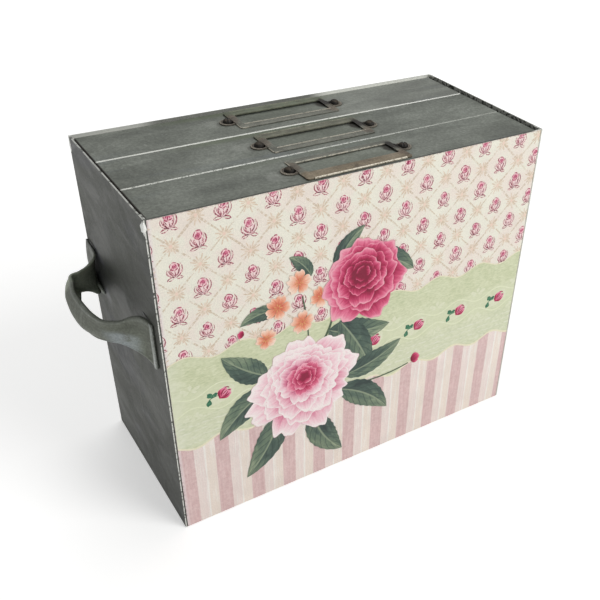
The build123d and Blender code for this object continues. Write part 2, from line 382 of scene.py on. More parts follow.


# where the case is worn, and where light is painted on it, in mm: from the middle of the box, or in from an
# edge where the name says so
caseWear = {
    "rim": (0.25, 0.05),             # below the top
    "rimShine": 0.6,
    "behindFront": (1.1, 1.4),       # in from the front, where the rim starts to shine
    "frontEdge": (0.1, 0.3),         # in from the front: the cut edges of the side walls
    "leftEdge": (0.40, 0.55),        # in from the left
    "frontShine": (0.95, 0.3),       # at the left wall and at the rest
    "paleEdge": (0.3, 0.6),          # in from the front, at the right wall
    "paleSide": (120.0, 125.0),
    # along the back the rim is dull in the middle
    "leftBright": (-90.0, -75.0),
    "rightBright": (20.0, 45.0),
    "backBright": (0.7, 0.28),       # at the left end and in the middle
    "backRim": (3.0, 2.6),           # in from the back
    "sideEdge": (0.9, 0.6),          # in from either side
    "backEdge": (0.3, 0.1),
    # the inside of the rim at the back and at the right wall faces into shade, and is painted paler: painted
    # light
    "inRim": (3.0, 2.6),             # below the top, on the inside of the walls
    "inBack": (2.4, 2.0),
    "inRight": (2.0, 1.5),
    "inRightShine": 0.5,
    # a paler, bluish patch behind the back foot of the handle: painted light where the handle shades the
    # wall, on the wall's own bluish tint
    "litPatchAlong": (26.0, 33.0, 42.0, 50.0),
    "litPatchUp": (110.0, 126.0, 148.0, 166.0),
    "litPatchShare": 0.7,
}


def inFrom(edge, distances):
    # places that lie in from a face of the case, in metres; edge is the face and which way is out
    face, out = edge
    return [face - out * distance * mm for distance in distances]


def inMetres(lengths):
    return [length * mm for length in lengths]


def caseMarks(recipe, place):
    # the rim of the case, the cut edges of its side walls, and the inside of the rim; the inside of the rim
    # and a patch behind the handle are painted light
    x, y, z = recipe.split(place)
    wear = caseWear
    top, left, right = (caseHigh.z, 1), (caseLow.x, -1), (caseHigh.x, 1)
    front, back = (caseLow.y, -1), (caseHigh.y, 1)
    rim = recipe.step(z, *inFrom(top, wear["rim"]), 0.0, wear["rimShine"])
    rim = recipe.times(rim, recipe.step(y, *inFrom(front, wear["behindFront"])))
    cut = recipe.step(y, *inFrom(front, wear["frontEdge"]), 1.0, 0.0)
    cut = recipe.times(cut, recipe.step(x, *inFrom(left, wear["leftEdge"]), *wear["frontShine"]))
    pale = recipe.step(y, *inFrom(front, wear["paleEdge"]), 1.0, 0.0)
    pale = recipe.times(pale, recipe.step(x, *inMetres(wear["paleSide"])))
    bright = recipe.step(x, *inMetres(wear["leftBright"]), *wear["backBright"])
    bright = recipe.either(bright, recipe.step(x, *inMetres(wear["rightBright"])))
    beforeBack = recipe.step(y, *inFrom(back, wear["backRim"]), 1.0, 0.0)
    rim = recipe.times(rim, recipe.either(beforeBack, bright))
    side = recipe.step(recipe.size(x), *inFrom(right, wear["sideEdge"]))
    behind = recipe.times(side, recipe.step(y, *inFrom(back, wear["backEdge"]), 0.0, wear["rimShine"]))
    # painted light: the inside of the rim at the back and at the right is made paler
    inRim = recipe.step(z, *inFrom(top, wear["inRim"]))
    inBack = recipe.times(recipe.times(inRim, bright), recipe.step(y, *inFrom(back, wear["inBack"])))
    inRight = recipe.step(x, *inFrom(right, wear["inRight"]), 0.0, wear["inRightShine"])
    inRight = recipe.times(inRim, inRight)
    worn = ragged(recipe, place, recipe.either(rim, behind))
    worn = recipe.either(worn, ragged(recipe, place, cut, 620.0, 0.36, 0.48))
    litInside = recipe.either(inBack, ragged(recipe, place, inRight, 500.0, 0.40, 0.55))
    worn = recipe.either(recipe.either(worn, litInside), pale)
    # painted light behind the back foot of the handle, in patches
    litPatch = recipe.band(y, *inMetres(wear["litPatchAlong"]))
    low, full, fade, high = inMetres(wear["litPatchUp"])
    litPatch = recipe.times(litPatch, recipe.step(z, low, full))
    litPatch = recipe.times(litPatch, recipe.step(z, fade, high, 1.0, 0.0))
    patches = recipe.step(recipe.noise(place, 60.0, 4.0, 0.6, 0.5), 0.40, 0.62)
    return worn, 0.0, recipe.times(litPatch, recipe.times(patches, wear["litPatchShare"]))


faceWear = {
    # How worn the folds of a drawer face are: the front one and the back one, each at its left and right end.
    # Then how wide they shine, in mm, and how far the wear is broken up.
    # The pale folds are worn metal, painted paler also as the highlight along each fold.
    "folds": {
        "front": ((0.0, 0.0), (0.2, 0.05), (0.3, 0.5), (0.40, 0.52)),
        "middle": ((0.70, 0.20), (0.30, 0.30), (0.45, 0.75), (0.30, 0.50)),
        "back": ((0.75, 0.85), (0.85, 0.85), (0.5, 0.85), (0.20, 0.44)),
    },
    "foldEnds": (-120.0, 120.0),
    "foldTop": (1.5, 1.0),           # mm below the top of the face
    # Marks round a holder, in mm from its middle: towards the right and the lip, then their size and how
    # uneven they are.
    "wiped": (-46.5, 1.5, (8.0, 7.0), 1.6),
    "wipedShare": 0.09,
    # hidden: a painted shadow on the floor of the window at its right end, as if cast by the end of the frame
    "hidden": (31.0, 3.8, (5.5, 6.5), 0.5),
    "windowShadowShare": 0.85,
    "rings": ((-41.0, (5.2, 5.2)), (41.0, (5.0, 4.6))),
    "ringShare": 0.35,
    "window": ((34.0, 9.0), 0.3),
    "windowShare": 0.18,
    "floorShift": 1.4,               # how far the middle of the floor is from the middle of the holder
    "sheenHalf": (0.0, 50.0),        # the right half of the back drawer is paler: a painted sheen
    "sheenShare": 0.09,
    "leftEnd": (0.5, 1.3),           # mm in from the left end: the face is darker along it, next to the wall
    "leftEndShare": 0.9,
    # tarnish behind the holder
    "tarnishDeep": (9.0, 3.0),       # mm in from the back fold
    "tarnishShare": {1: 0.6, -1: 0.25},
    "tarnishAlong": (-95.0, -55.0, 25.0, 55.0),
}


def faceMarks(name):
    wear = faceWear
    low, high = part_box(f"{name}_drawer_face")
    frontFold, backFold, shine, broken = wear["folds"][name]
    lip = 1 if name != "front" else -1
    holderLow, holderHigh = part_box(f"{name}_label_holder")
    middle = (holderLow + holderHigh) / 2 / mm
    floorY = middle.y - wear["floorShift"] * lip

    def marks(recipe, place):
        x, y, z = recipe.split(place)
        # worn folds, painted paler also as their highlight
        ends = inMetres(wear["foldEnds"])
        front = recipe.step(y, *inFrom((low.y, -1), shine), 1.0, 0.0)
        back = recipe.step(y, *inFrom((high.y, 1), reversed(shine)))
        front = recipe.times(front, recipe.step(x, *ends, *frontFold))
        back = recipe.times(back, recipe.step(x, *ends, *backFold))
        top = recipe.step(z, *inFrom((high.z, 1), wear["foldTop"]))
        worn = ragged(recipe, place, recipe.times(recipe.either(front, back), top), 560.0, *broken)
        # a pale wiped patch to the left of each holder
        across, along, size, unevenness = wear["wiped"]
        wiped = spot(recipe, place, (middle.x + across, middle.y + along * lip), size, unevenness)
        worn = recipe.either(worn, recipe.times(wiped, wear["wipedShare"]))
        # painted sheen over the right half of the back drawer
        if name == "back":
            paintedSheen = recipe.step(x, *inMetres(wear["sheenHalf"]), 0.0, wear["sheenShare"])
            worn = recipe.either(worn, paintedSheen)
        end = recipe.step(x, *inFrom((low.x, -1), wear["leftEnd"]), wear["leftEndShare"], 0.0)
        # a painted shadow at the right end of the window, joined with the darker left end and the rings
        across, along, size, unevenness = wear["hidden"]
        hidden = spot(recipe, place, (middle.x + across, floorY + along), size, unevenness)
        rings = [spot(recipe, place, (middle.x + shift, floorY), size, 0.8) for shift, size in wear["rings"]]
        rings = recipe.times(recipe.either(*rings), wear["ringShare"])
        dirtAndShade = recipe.either(end, recipe.either(recipe.times(hidden, wear["windowShadowShare"]), rings))
        deep, share = inFrom((high.y, 1), wear["tarnishDeep"]), wear["tarnishShare"][lip]
        tarnishAndLitPatch = recipe.step(y, *deep, 0.0, share)
        start, full, fade, stop = inMetres(wear["tarnishAlong"])
        tarnishAndLitPatch = recipe.times(tarnishAndLitPatch, recipe.step(x, start, full))
        tarnishAndLitPatch = recipe.times(tarnishAndLitPatch, recipe.step(x, fade, stop, 1.0, 0.0))
        size, unevenness = wear["window"]
        window = spot(recipe, place, (middle.x, floorY), size, unevenness)
        tarnishAndLitPatch = recipe.either(tarnishAndLitPatch, recipe.times(window, wear["windowShare"]))
        return worn, dirtAndShade, tarnishAndLitPatch

    return marks


# The walls are the same zinc as the drawer tops, painted darker: painted shade on the sides of the case.
shadedWallLooks = {
    **zincLooks,
    "dark": (45, 48, 41),
    "middle": (71, 73, 67),
    "light": (93, 96, 88),
    "blue": (73, 75, 79),
    # the colour of the painted light patch behind the handle
    "tarnishAndLitPatch": (99, 100, 107),
}
topLooks = {
    **zincLooks,
    "dark": (84, 88, 81),
    "middle": (118, 122, 114),
    "light": (144, 148, 140),
    "blue": (112, 118, 124),
}
shadedWallZinc = zinc("shadedWallZinc", shadedWallLooks, caseMarks, (1.0, 0.5, 1.1))
trayZinc = zinc("trayZinc", zincLooks)
for node in ("left_wall", "right_wall", "front_wall", "back_wall", "case_bottom"):
    dress(node, shadedWallZinc)
for name in drawers:
    dress(f"{name}_drawer_face", zinc(f"{name}FaceZinc", topLooks, faceMarks(name), (0.30, 1.0, 1.0)))
    dress(f"{name}_drawer_tray", trayZinc)
print("zinc sheets finished")


# The printed paper. The stripes and the trellis are in the paper itself, the rest is laid on it below.
patternLooks = {
    "cream": (246, 235, 223),
    "creamGreen": (241, 238, 223),
    "creamLow": (244, 231, 219),
    "creamPink": (243, 228, 221),
    "trellis": (204, 184, 156),
    "glow": (240, 214, 192),
    "stripe": (232, 205, 202),
    "stripeDark": (218, 184, 182),
    "line": (252, 247, 240),
    "worn": (240, 228, 228),
    "rubbed": (168, 138, 140),
    # how much these show
    "trellisShare": 0.72,
    "glowShare": 0.6,
    "strokeShare": 0.6,
    "rubbedShare": 0.55,
    "wornShare": 0.7,
    # mm from the left and from the top
    "first": (12.0, 3.4),        # where the first sprig is
    "pitch": (14.4, 14.0),
    "dashes": 4.5,               # dashes of the trellis from one sprig to the next
    "stripeFirst": 1.2,
    "stripePitch": 23.0,
    "stripeWidth": 9.6,
    "stripeBlur": 0.4,
    "bandTop": 88.0,
    "bandLow": 156.0,
    "wornLeft": (1.8, 4.0),
    "rubbedLeft": (1.6, 2.6),
    "rubbedTop": (0.4, 1.1),
}
inkShine = 0.35              # how strongly ink and paper shine
paperGrain = 1300.0          # how fine the grain of the paper is


def millimetres(recipe):
    # mm from the left edge of the case and from its top
    x, y, z = recipe.split(recipe.place())
    across = recipe.plus(recipe.times(x, 1 / mm), caseHigh.x / mm)
    down = recipe.minus(caseHigh.z / mm, recipe.times(z, 1 / mm))
    return across, down


def finishPrint(recipe, colour, rough, normal):
    return recipe.finish(colour, rough, normal, **{"Specular IOR Level": inkShine})


def printedPaper(looks):
    recipe = Recipe("printedPaper")
    place = recipe.place()
    across, down = millimetres(recipe)
    fleck = recipe.noise(place, paperGrain, 2.0, 0.8)
    cloud = recipe.noise(place, 60.0, 4.0, 0.6)
    ink = recipe.noise(place, 420.0, 3.0, 0.7)

    # a trellis of dashed lines through the star blossoms
    a = recipe.math("DIVIDE", recipe.minus(across, looks["first"][0]), looks["pitch"][0])
    b = recipe.math("DIVIDE", recipe.minus(down, looks["first"][1]), looks["pitch"][1])
    lines = []
    rising, falling = recipe.plus(a, b), recipe.minus(a, b)
    for over, along in ((rising, falling), (falling, rising)):
        offset = recipe.math("PINGPONG", recipe.plus(over, 1.0), 1.0)
        wavy = recipe.plus(offset, recipe.times(recipe.minus(cloud, 0.5), 0.12))
        line = recipe.step(recipe.size(recipe.minus(wavy, 0.02)), 0.020, 0.052, 1.0, 0.0)
        dash = recipe.math("PINGPONG", recipe.times(along, looks["dashes"]), 0.5)
        dash = recipe.step(dash, 0.04, 0.16, 0.35, 1.0)
        lines.append(recipe.times(line, dash))
    trellis = recipe.times(recipe.either(*lines), recipe.step(ink, 0.38, 0.56))
    fade = recipe.step(cloud, 0.4, 0.6)
    cream = recipe.mix(fade, rgb(*looks["cream"]), rgb(*looks["creamGreen"]))
    # a warm glow round each star blossom
    near = [recipe.math("PINGPONG", recipe.times(over, 0.5), 0.5) for over in (rising, falling)]
    glow = recipe.step(recipe.plus(recipe.plus(*near), recipe.times(recipe.minus(ink, 0.5), 0.4)), 0.72, 0.98)
    cream = recipe.mix(recipe.times(glow, looks["glowShare"]), cream, rgb(*looks["glow"]))
    upper = recipe.mix(recipe.times(trellis, looks["trellisShare"]), cream, rgb(*looks["trellis"]))

    # stripes, with a thin line between each two
    turn = recipe.math("FLOORED_MODULO", recipe.minus(across, looks["stripeFirst"]), looks["stripePitch"])
    wobble = recipe.times(recipe.minus(ink, 0.5), 0.8)
    turn = recipe.plus(turn, wobble)
    width, pitch, blur = looks["stripeWidth"], looks["stripePitch"], looks["stripeBlur"]
    wide = recipe.band(turn, 0.0, blur, width - blur, width)
    middle = (width + pitch) / 2
    strokes = recipe.noise(recipe.stretch(place, (1.0, 1.0, 0.06)), 700.0, 3.0, 0.6)
    thin = recipe.step(recipe.size(recipe.minus(turn, middle)), 0.35, 0.75, 1.0, 0.0)
    side = recipe.step(turn, middle - 1.0, middle + 1.0)
    lower = recipe.mix(side, rgb(*looks["creamPink"]), rgb(*looks["creamLow"]))
    strokeMask = recipe.step(strokes, 0.50, 0.66, 0.0, looks["strokeShare"])
    lower = recipe.mix(strokeMask, lower, rgb(*looks["line"]))
    lower = recipe.mix(recipe.times(thin, recipe.step(cloud, 0.3, 0.5, 0.4, 0.9)), lower, rgb(*looks["line"]))
    cloth = recipe.step(recipe.plus(recipe.times(ink, 0.5), recipe.times(strokes, 0.5)), 0.36, 0.64)
    lower = recipe.mix(wide, lower, recipe.mix(cloth, rgb(*looks["stripeDark"]), rgb(*looks["stripe"])))
    middleOfBand = (looks["bandTop"] + looks["bandLow"]) / 2
    colour = recipe.mix(recipe.step(down, middleOfBand - 1, middleOfBand + 1), upper, lower)

    grain = recipe.plus(recipe.times(fleck, 0.7), recipe.times(cloud, 0.3))
    colour = recipe.shade(colour, recipe.step(grain, 0.34, 0.66, 0.88, 1.07))
    # the left edge has faded, and is rubbed as the top edge is
    faded = recipe.step(across, *looks["wornLeft"], looks["wornShare"], 0.0)
    colour = recipe.mix(faded, colour, rgb(*looks["worn"]))
    edge = recipe.step(across, *looks["rubbedLeft"], 1.0, 0.0)
    edge = recipe.either(edge, recipe.step(down, *looks["rubbedTop"], 1.0, 0.0))
    rubbed = recipe.times(edge, recipe.step(recipe.noise(place, 520.0, 3.0, 0.6), 0.44, 0.60))
    colour = recipe.mix(recipe.times(rubbed, looks["rubbedShare"]), colour, rgb(*looks["rubbed"]))
    rough = recipe.step(cloud, 0.3, 0.7, 0.42, 0.56)
    normal = recipe.bump(fleck, 0.12, 0.0003, recipe.bump(cloud, 0.15, 0.001))
    return finishPrint(recipe, colour, rough, normal)


dress("front_paper", printedPaper(patternLooks))
print("paper printed")


# The rest of the print is thin layers of ink, one above another.
inkLayer = 0.012             # mm from one layer to the next
inkMargin = (1.5, 0.4)       # mm left bare at the sides of the case, and at its top and bottom


def onFront(across, down, level):
    return Vector((caseLow.x + across * mm, paperFront - level * inkLayer * mm, caseHigh.z - down * mm))


def addPatch(bm, segments, place, level, number=0, bare=0.0, tone=0.0):
    # A grid moved to where place(s, t) says, with s and t from -1 to 1. Its number is the whole part of U,
    # and V is 0 where it comes out from under the patch above it.
    uvs = bm.loops.layers.uv.verify()
    tones = bm.verts.layers.float.get("tone") or bm.verts.layers.float.new("tone")
    made = bmesh.ops.create_grid(bm, x_segments=segments[0], y_segments=segments[1], size=1.0)["verts"]
    for face in {face for vert in made for face in vert.link_faces}:
        for loop in face.loops:
            s, t = loop.vert.co.x, loop.vert.co.y
            loop[uvs].uv = (number + (s + 1) / 2, ((t + 1) / 2 - bare) / (1 - bare))
    for vert in made:
        vert[tones] = tone
        vert.co = onFront(*place(vert.co.x, vert.co.y), level)


def strokePlace(points, width, taper=0.7):
    # a brush stroke along a curve, narrower at its ends
    def place(s, t):
        along = (t + 1) / 2
        here = bezier(points, along)
        ahead = bezier(points, min(1.0, along + 0.02)) - bezier(points, max(0.0, along - 0.02))
        side = Vector((-ahead.y, ahead.x)).normalized()
        half = width / 2 * (1 - taper * abs(t) ** 2.5)
        return here + side * s * half

    return place


def round01(s, t):
    # the square from -1 to 1 pressed into a disc
    return s * math.sqrt(1 - t * t / 2), t * math.sqrt(1 - s * s / 2)


def petalPlace(centre, angle, start, reach, halfWidth, waist=0.45, ruffle=0.04, phase=0.0, notch=0.0):
    # a petal that points away from the centre. angle is clockwise from straight up.
    def place(s, t):
        side, up = round01(s, t)
        along = (up + 1) / 2
        width = halfWidth * (waist + (1 - waist) * smoothStep(0.0, 0.75, along))
        wave = 1 + ruffle * along ** 2 * (math.sin(5 * side + phase) + 0.6 * math.sin(11 * side + 2 * phase))
        out = start + (reach - start) * along * wave - notch * reach * along ** 3 * math.exp(-(4 * side) ** 2)
        x, y = side * width, out
        return (
            centre[0] + x * math.cos(angle) + y * math.sin(angle),
            centre[1] + x * math.sin(angle) - y * math.cos(angle),
        )

    return place


def finishInk(bm, name, material):
    # cut off at the margins, and turned to face forwards
    side, end = inkMargin
    for corner, outward in (
        (onFront(side, 0, 0), (-1, 0, 0)),
        (onFront(2 * caseHigh.x / mm - side, 0, 0), (1, 0, 0)),
        (onFront(0, end, 0), (0, 0, 1)),
        (onFront(0, caseHigh.z / mm - end, 0), (0, 0, -1)),
    ):
        bmesh.ops.bisect_plane(bm, geom=bm.verts[:] + bm.edges[:] + bm.faces[:], plane_co=corner,
                               plane_no=outward, clear_outer=True)
    bm.normal_update()
    bmesh.ops.reverse_faces(bm, faces=[face for face in bm.faces if face.normal.y > 0])
    return finishPiece(bm, name, material, "case", smooth=False)


def inkMaterial(name, colours, roughness=0.45, scale=500.0, spread=0.2):
    # plain printing ink that lies unevenly
    recipe = Recipe(name)
    place = recipe.place()
    cover = recipe.noise(place, scale, 3.0, 0.7)
    colour = recipe.ramp(cover, evenStops(colours, 0.5 - spread, 0.5 + spread))
    normal = recipe.bump(recipe.noise(place, paperGrain, 2.0, 0.8), 0.12, 0.0003)
    return finishPrint(recipe, colour, recipe.step(cover, 0.3, 0.7, roughness, roughness + 0.12), normal)


def petalInk(name, colours, streaks=0.5):
    # dark where a petal comes out from under the next, light at its rim, with brush strokes along it
    recipe = Recipe(name)
    place = recipe.place()
    u, v = recipe.split(recipe.surface())[:2]
    tone = recipe.add("Attribute", {}, attribute_name="tone").outputs["Fac"]
    across = recipe.math("FRACT", u)
    number = recipe.math("FLOOR", u)
    side = recipe.size(recipe.minus(recipe.times(across, 2.0), 1.0))
    lie = recipe.join(recipe.times(across, 9.0), recipe.times(v, 1.3), recipe.times(number, 2.7))
    brush = recipe.noise(lie, 1.0, 3.0, 0.6, 0.3)
    fine = recipe.noise(recipe.join(recipe.times(across, 30.0), recipe.times(v, 2.5), number), 1.0, 2.0, 0.6)
    strokes = recipe.times(recipe.minus(brush, 0.5), streaks)
    strokes = recipe.plus(strokes, recipe.times(recipe.minus(fine, 0.5), 0.25))
    light = recipe.plus(recipe.plus(recipe.times(v, 0.85), tone), strokes)
    light = recipe.plus(light, recipe.times(recipe.step(v, 0.86, 0.97), 0.16))
    light = recipe.plus(light, recipe.times(recipe.step(side, 0.75, 0.95), 0.10))
    colour = recipe.ramp(light, evenStops(colours, 0.14, 0.90))
    line = recipe.either(recipe.step(v, 0.975, 0.995), recipe.step(side, 0.95, 0.99))
    line = recipe.times(line, recipe.step(brush, 0.42, 0.55, 0.0, 0.45))
    colour = recipe.mix(line, colour, rgb(*colours[0]))
    grain = recipe.noise(place, paperGrain, 2.0, 0.8)
    colour = recipe.shade(colour, recipe.step(grain, 0.3, 0.7, 0.94, 1.05))
    normal = recipe.bump(grain, 0.12, 0.0003)
    return finishPrint(recipe, colour, recipe.step(brush, 0.3, 0.7, 0.44, 0.56), normal)


# small sprigs stand between the lines of the trellis, and star blossoms where they cross
sprigLooks = {
    "rows": 7,
    "columns": 18,
    "deep": [(122, 44, 68), (156, 70, 90), (204, 134, 142), (246, 222, 216)],
    "bud": [(206, 100, 134), (234, 154, 174), (246, 196, 204), (252, 226, 222)],
    "strokes": [(128, 22, 66), (176, 60, 98), (222, 130, 152)],
    "blush": [(244, 214, 216), (246, 226, 220)],
    "star": [(202, 182, 154), (226, 206, 184), (240, 226, 208)],
    "heart": [(238, 208, 190), (245, 225, 208)],
    "size": (0.86, 0.98),            # smallest and largest sprig
    "lean": 0.10,
    "stray": 0.3,                    # mm by which a sprig and its fronds stray
    "budStray": 0.4,
    "frondWidth": (0.9, 1.6),        # thinnest and thickest, as shares of the widths below
    "budStrokeWidth": (0.45, 0.85),
    "tint": (5.2, 7.4, 4.6),         # mm below the middle where the blush starts, its reach, half width
    "budMiddle": (0.2, -2.9),
    "budPetals": (5, 2.9, 1.5),      # how many, reach, half width
    "rays": 16,                      # of a star blossom
    "rayReach": (4.2, 6.2),          # mm, every other one
    "rayStart": (0.6, 1.8),
    "rayHalfWidth": 0.38,
    "rayStray": 0.12,                # radians
    "starHeart": (1.1, 2.2, 1.0),    # mm below the middle, reach, half width
    # strokes of one sprig, in mm from its middle, right and down: width and control points
    "fronds": [
        (0.50, [(-0.2, 4.4), (-4.0, 3.6), (-6.0, 1.0), (-4.0, -2.0)]),
        (0.40, [(-0.2, 4.2), (-2.2, 2.8), (-3.9, 0.8), (-3.8, -1.8)]),
        (0.45, [(0.0, 3.8), (-2.8, 2.0), (-3.2, -0.4), (-2.1, -1.2)]),
        (0.40, [(0.0, 3.8), (-1.2, 2.0), (-1.8, 0.6), (-2.3, -1.0)]),
        (0.55, [(0.6, 4.4), (4.8, 3.2), (6.3, -0.6), (3.9, -4.2)]),
        (0.40, [(0.6, 4.2), (2.9, 2.6), (3.8, -1.0), (3.7, -3.8)]),
        (0.45, [(0.2, -0.4), (0.7, 1.4), (0.6, 2.8), (0.2, 4.6)]),
        (0.45, [(0.2, 3.4), (2.6, 2.0), (3.2, 0.2), (2.2, -1.0)]),
        (0.60, [(0.0, 4.6), (-2.2, 3.6), (-4.0, 4.2), (-5.4, 5.6)]),
        (0.45, [(-0.6, 4.9), (-2.2, 6.0), (-3.8, 6.0), (-5.2, 5.5)]),
        (0.60, [(0.6, 4.6), (2.4, 3.8), (3.8, 4.6), (5.0, 5.9)]),
        (0.45, [(0.6, 4.9), (1.8, 6.0), (3.4, 6.4), (4.8, 5.9)]),
    ],
    # short strokes over the bud, from its middle
    "budStrokes": [
        [(-2.6, 0.6), (-3.0, -1.4), (-1.6, -2.4)],
        [(-1.4, -2.5), (0.2, -3.2), (1.6, -2.2)],
        [(1.8, -2.0), (3.0, -0.8), (2.3, 1.0)],
        [(-1.6, 1.8), (-1.4, -0.4), (-0.1, -1.3)],
        [(0.1, -1.2), (1.5, -0.5), (1.0, 1.2)],
        [(-0.4, 1.9), (0.2, 0.6), (0.0, -0.4)],
        [(2.1, 1.2), (1.0, 2.6), (-0.4, 2.3)],
        [(-2.4, 0.9), (-1.8, 2.3), (-0.6, 2.4)],
    ],
}


def stray(reach):
    return random.uniform(-reach, reach)


def strayed(points, reach):
    return [(across + stray(reach), down + stray(reach)) for across, down in points]


def sprigSpots(looks, odd):
    # every second crossing of the rows and columns
    first, pitch = patternLooks["first"], patternLooks["pitch"]
    for row in range(looks["rows"]):
        for column in range(-1, looks["columns"]):
            if (row + column) % 2 == odd:
                yield first[0] + column * pitch[0], first[1] + row * pitch[1]


def makeSprigs(looks):
    blush, fronds, buds, strokes = bmesh.new(), bmesh.new(), bmesh.new(), bmesh.new()
    middle = looks["budMiddle"]
    for x, y in sprigSpots(looks, 0):
        size = random.uniform(*looks["size"])
        lean = random.uniform(-looks["lean"], looks["lean"])
        x += stray(looks["stray"])

        def at(point, middle=(0.0, 0.0)):
            across, down = point[0] + middle[0], point[1] + middle[1]
            return (x + size * (across - lean * down), y + size * (down + lean * across))

        below, reach, half = looks["tint"]
        addPatch(blush, (3, 4), petalPlace(at((0, below)), lean, 0.0, reach * size, half * size, 0.5), 1)
        for width, points in looks["fronds"]:
            shifted = [at(point) for point in strayed(points, looks["stray"])]
            addPatch(fronds, (1, 5), strokePlace(shifted, width * random.uniform(*looks["frondWidth"])), 2)
        first = random.uniform(0, 6)
        petals, reach, half = looks["budPetals"]
        for k in range(petals):
            angle = first + k * 2 * math.pi / petals
            petal = petalPlace(at(middle), angle, 0.0, reach * size, half * size, 0.4, 0.14, k)
            level = 3 + k % 2 + 2 * (k == petals - 1)
            addPatch(buds, (3, 3), petal, level, k, 0.0, random.uniform(-0.1, 0.35))
        for points in looks["budStrokes"]:
            shifted = [at(point, middle) for point in strayed(points, looks["budStray"])]
            addPatch(strokes, (1, 4), strokePlace(shifted, random.uniform(*looks["budStrokeWidth"])), 6)
    finishInk(blush, "sprigTint", inkMaterial("blushInk", looks["blush"]))
    finishInk(fronds, "sprigs", inkMaterial("roseInk", looks["deep"], scale=900.0, spread=0.10))
    finishInk(buds, "sprigBuds", petalInk("sprigBudInk", looks["bud"]))
    strokeInk = inkMaterial("strokeInk", looks["strokes"], scale=900.0, spread=0.12)
    finishInk(strokes, "budStrokes", strokeInk)


def makeStars(looks):
    rays, hearts = bmesh.new(), bmesh.new()
    for x, y in sprigSpots(looks, 1):
        turn = stray(looks["rayStray"])
        for ray in range(looks["rays"]):
            angle = turn + ray * 2 * math.pi / looks["rays"] + stray(looks["rayStray"])
            reach = looks["rayReach"][ray % 2] * random.uniform(0.75, 1.15)
            start = random.uniform(*looks["rayStart"])
            petal = petalPlace((x, y), angle, start, reach, looks["rayHalfWidth"], 0.5)
            addPatch(rays, (1, 3), petal, 1 + ray % 2)
        below, reach, half = looks["starHeart"]
        addPatch(hearts, (3, 3), petalPlace((x, y + below), turn, 0.0, reach, half, 0.8), 4)
    finishInk(rays, "stars", inkMaterial("starInk", looks["star"], scale=620.0))
    finishInk(hearts, "starHearts", inkMaterial("starHeartInk", looks["heart"]))


makeSprigs(sprigLooks)
makeStars(sprigLooks)
print("sprigs and stars printed")


bandLooks = {
    # All in mm. Each wavy edge and line has its middle, its swing, and where it stands highest after the
    # first loop.
    "period": 35.2,
    "first": 31.0,                   # from the left, where the loop of the first bud is widest
    "topEdge": (89.6, 2.6, -19.5),
    "lowEdge": (152.3, 2.8, 0.0),
    "upperLine": (114.5, 2.9, 0.0),
    "lowerLine": (127.3, 3.3, 17.6),
    "lineWidth": 1.0,
    "edgeWidth": {"topEdge": 0.8, "lowEdge": 1.5},
    "green": [(194, 203, 162), (212, 217, 181), (226, 230, 199)],
    "lace": (230, 232, 212),
    "edge": [(232, 228, 192), (246, 238, 216)],
    "faded": (232, 234, 212),
    "cream": [(224, 230, 192), (236, 238, 214)],
    "fleuron": [(219, 223, 190), (232, 234, 210)],
    "bud": [(168, 34, 76), (206, 66, 108), (226, 112, 148), (240, 164, 184)],
    "budMark": [(112, 12, 44), (148, 26, 62), (188, 60, 96)],
    "budLeaf": [(30, 84, 62), (52, 116, 86), (104, 150, 112)],
    # in the weave of the band: mm below the top of the case
    "threads": 2.2,                  # from one row of thread to the next
    "laceFrom": (128.0, 136.0),      # the low half is more like lace, and fades towards the edge
    "laceTo": (148.0, 154.0),
    "laceShare": (0.3, 0.7),         # all over, and along the threads
    "paleMiddle": (121.0, 7.0, 13.0, 0.5),       # middle, half widths and share of the pale stretch
    "fadedLeft": (1.5, 13.0),        # mm from the left
    "fadedShare": 0.6,
    # Sprays of small leaves along both lines: how far down and which way, then the turn, the reach and the
    # half width of each leaf.
    "sprays": ((111.4, 0), (129.6, 180)),
    "sprayLeaves": ((0, 4.6, 1.5), (72, 6.6, 1.4), (-72, 6.6, 1.4), (108, 4.4, 1.0), (-108, 4.4, 1.0)),
    "sprayShift": -0.6,
    "budPlace": (2.2, 120.4),        # mm after its loop, and below the top
    "budLean": (44, 54),             # degrees from straight up
    "budFoot": (-2.4, 2.4),
    "halo": ((-8.5, 5.6), 58, 17.5, 5.2),        # pale patch behind a bud: foot, turn, reach, half width
    "markWidth": (0.6, 1.1),
    "markStray": 0.3,
    "stem": [(-3.8, 0.3), (-6.0, 0.8), (-8.4, 0.2), (-9.4, 2.0)],
    "stemWidth": 0.7,
    # leaves at the stem: place, turn, reach and how many layers up
    "stemLeaves": (((-6.6, 0.6), -52, 5.0, 0), ((-9.2, 1.4), 190, 5.0, 0), ((-5.4, 0.6), -10, 2.8, 1)),
    "leafHalfWidth": 1.9,
    # A bud points up to the right. Its petals: turn, reach, half width and tone. Then the dark strokes over
    # them, in mm from its middle, to the right and down.
    "petals": [
        (-34, 6.4, 2.6, -0.25),
        (30, 6.6, 2.6, -0.15),
        (-16, 7.6, 2.4, 0.0),
        (14, 7.8, 2.4, 0.1),
        (0, 6.0, 1.9, 0.35),
    ],
    "marks": [
        [(-2.4, 2.6), (-4.4, 0.2), (-2.6, -2.6)],
        [(-2.4, 2.8), (1.6, 3.4), (3.6, 1.4)],
        [(-1.8, 1.4), (-1.4, -1.2), (0.8, -2.8)],
        [(-1.2, 2.0), (1.4, 1.6), (2.6, -0.6)],
        [(-0.8, 1.0), (0.2, -0.4), (1.8, -1.6)],
        [(0.6, -3.8), (2.4, -4.2), (3.6, -2.8)],
        [(2.4, -1.8), (3.6, -1.6), (4.2, -0.4)],
    ],
}


def wave(looks, name, across):
    middle, swing, shift = looks[name]
    return middle - swing * math.cos(2 * math.pi * (across - looks["first"] - shift) / looks["period"])


def wavyLine(bm, where, width, level):
    # a thin strip along a curve that runs over the whole length of the paper
    def place(s, t):
        across = (t + 1) * caseHigh.x / mm
        return across, where(across) + s * width / 2

    addPatch(bm, (2, 180), place, level)


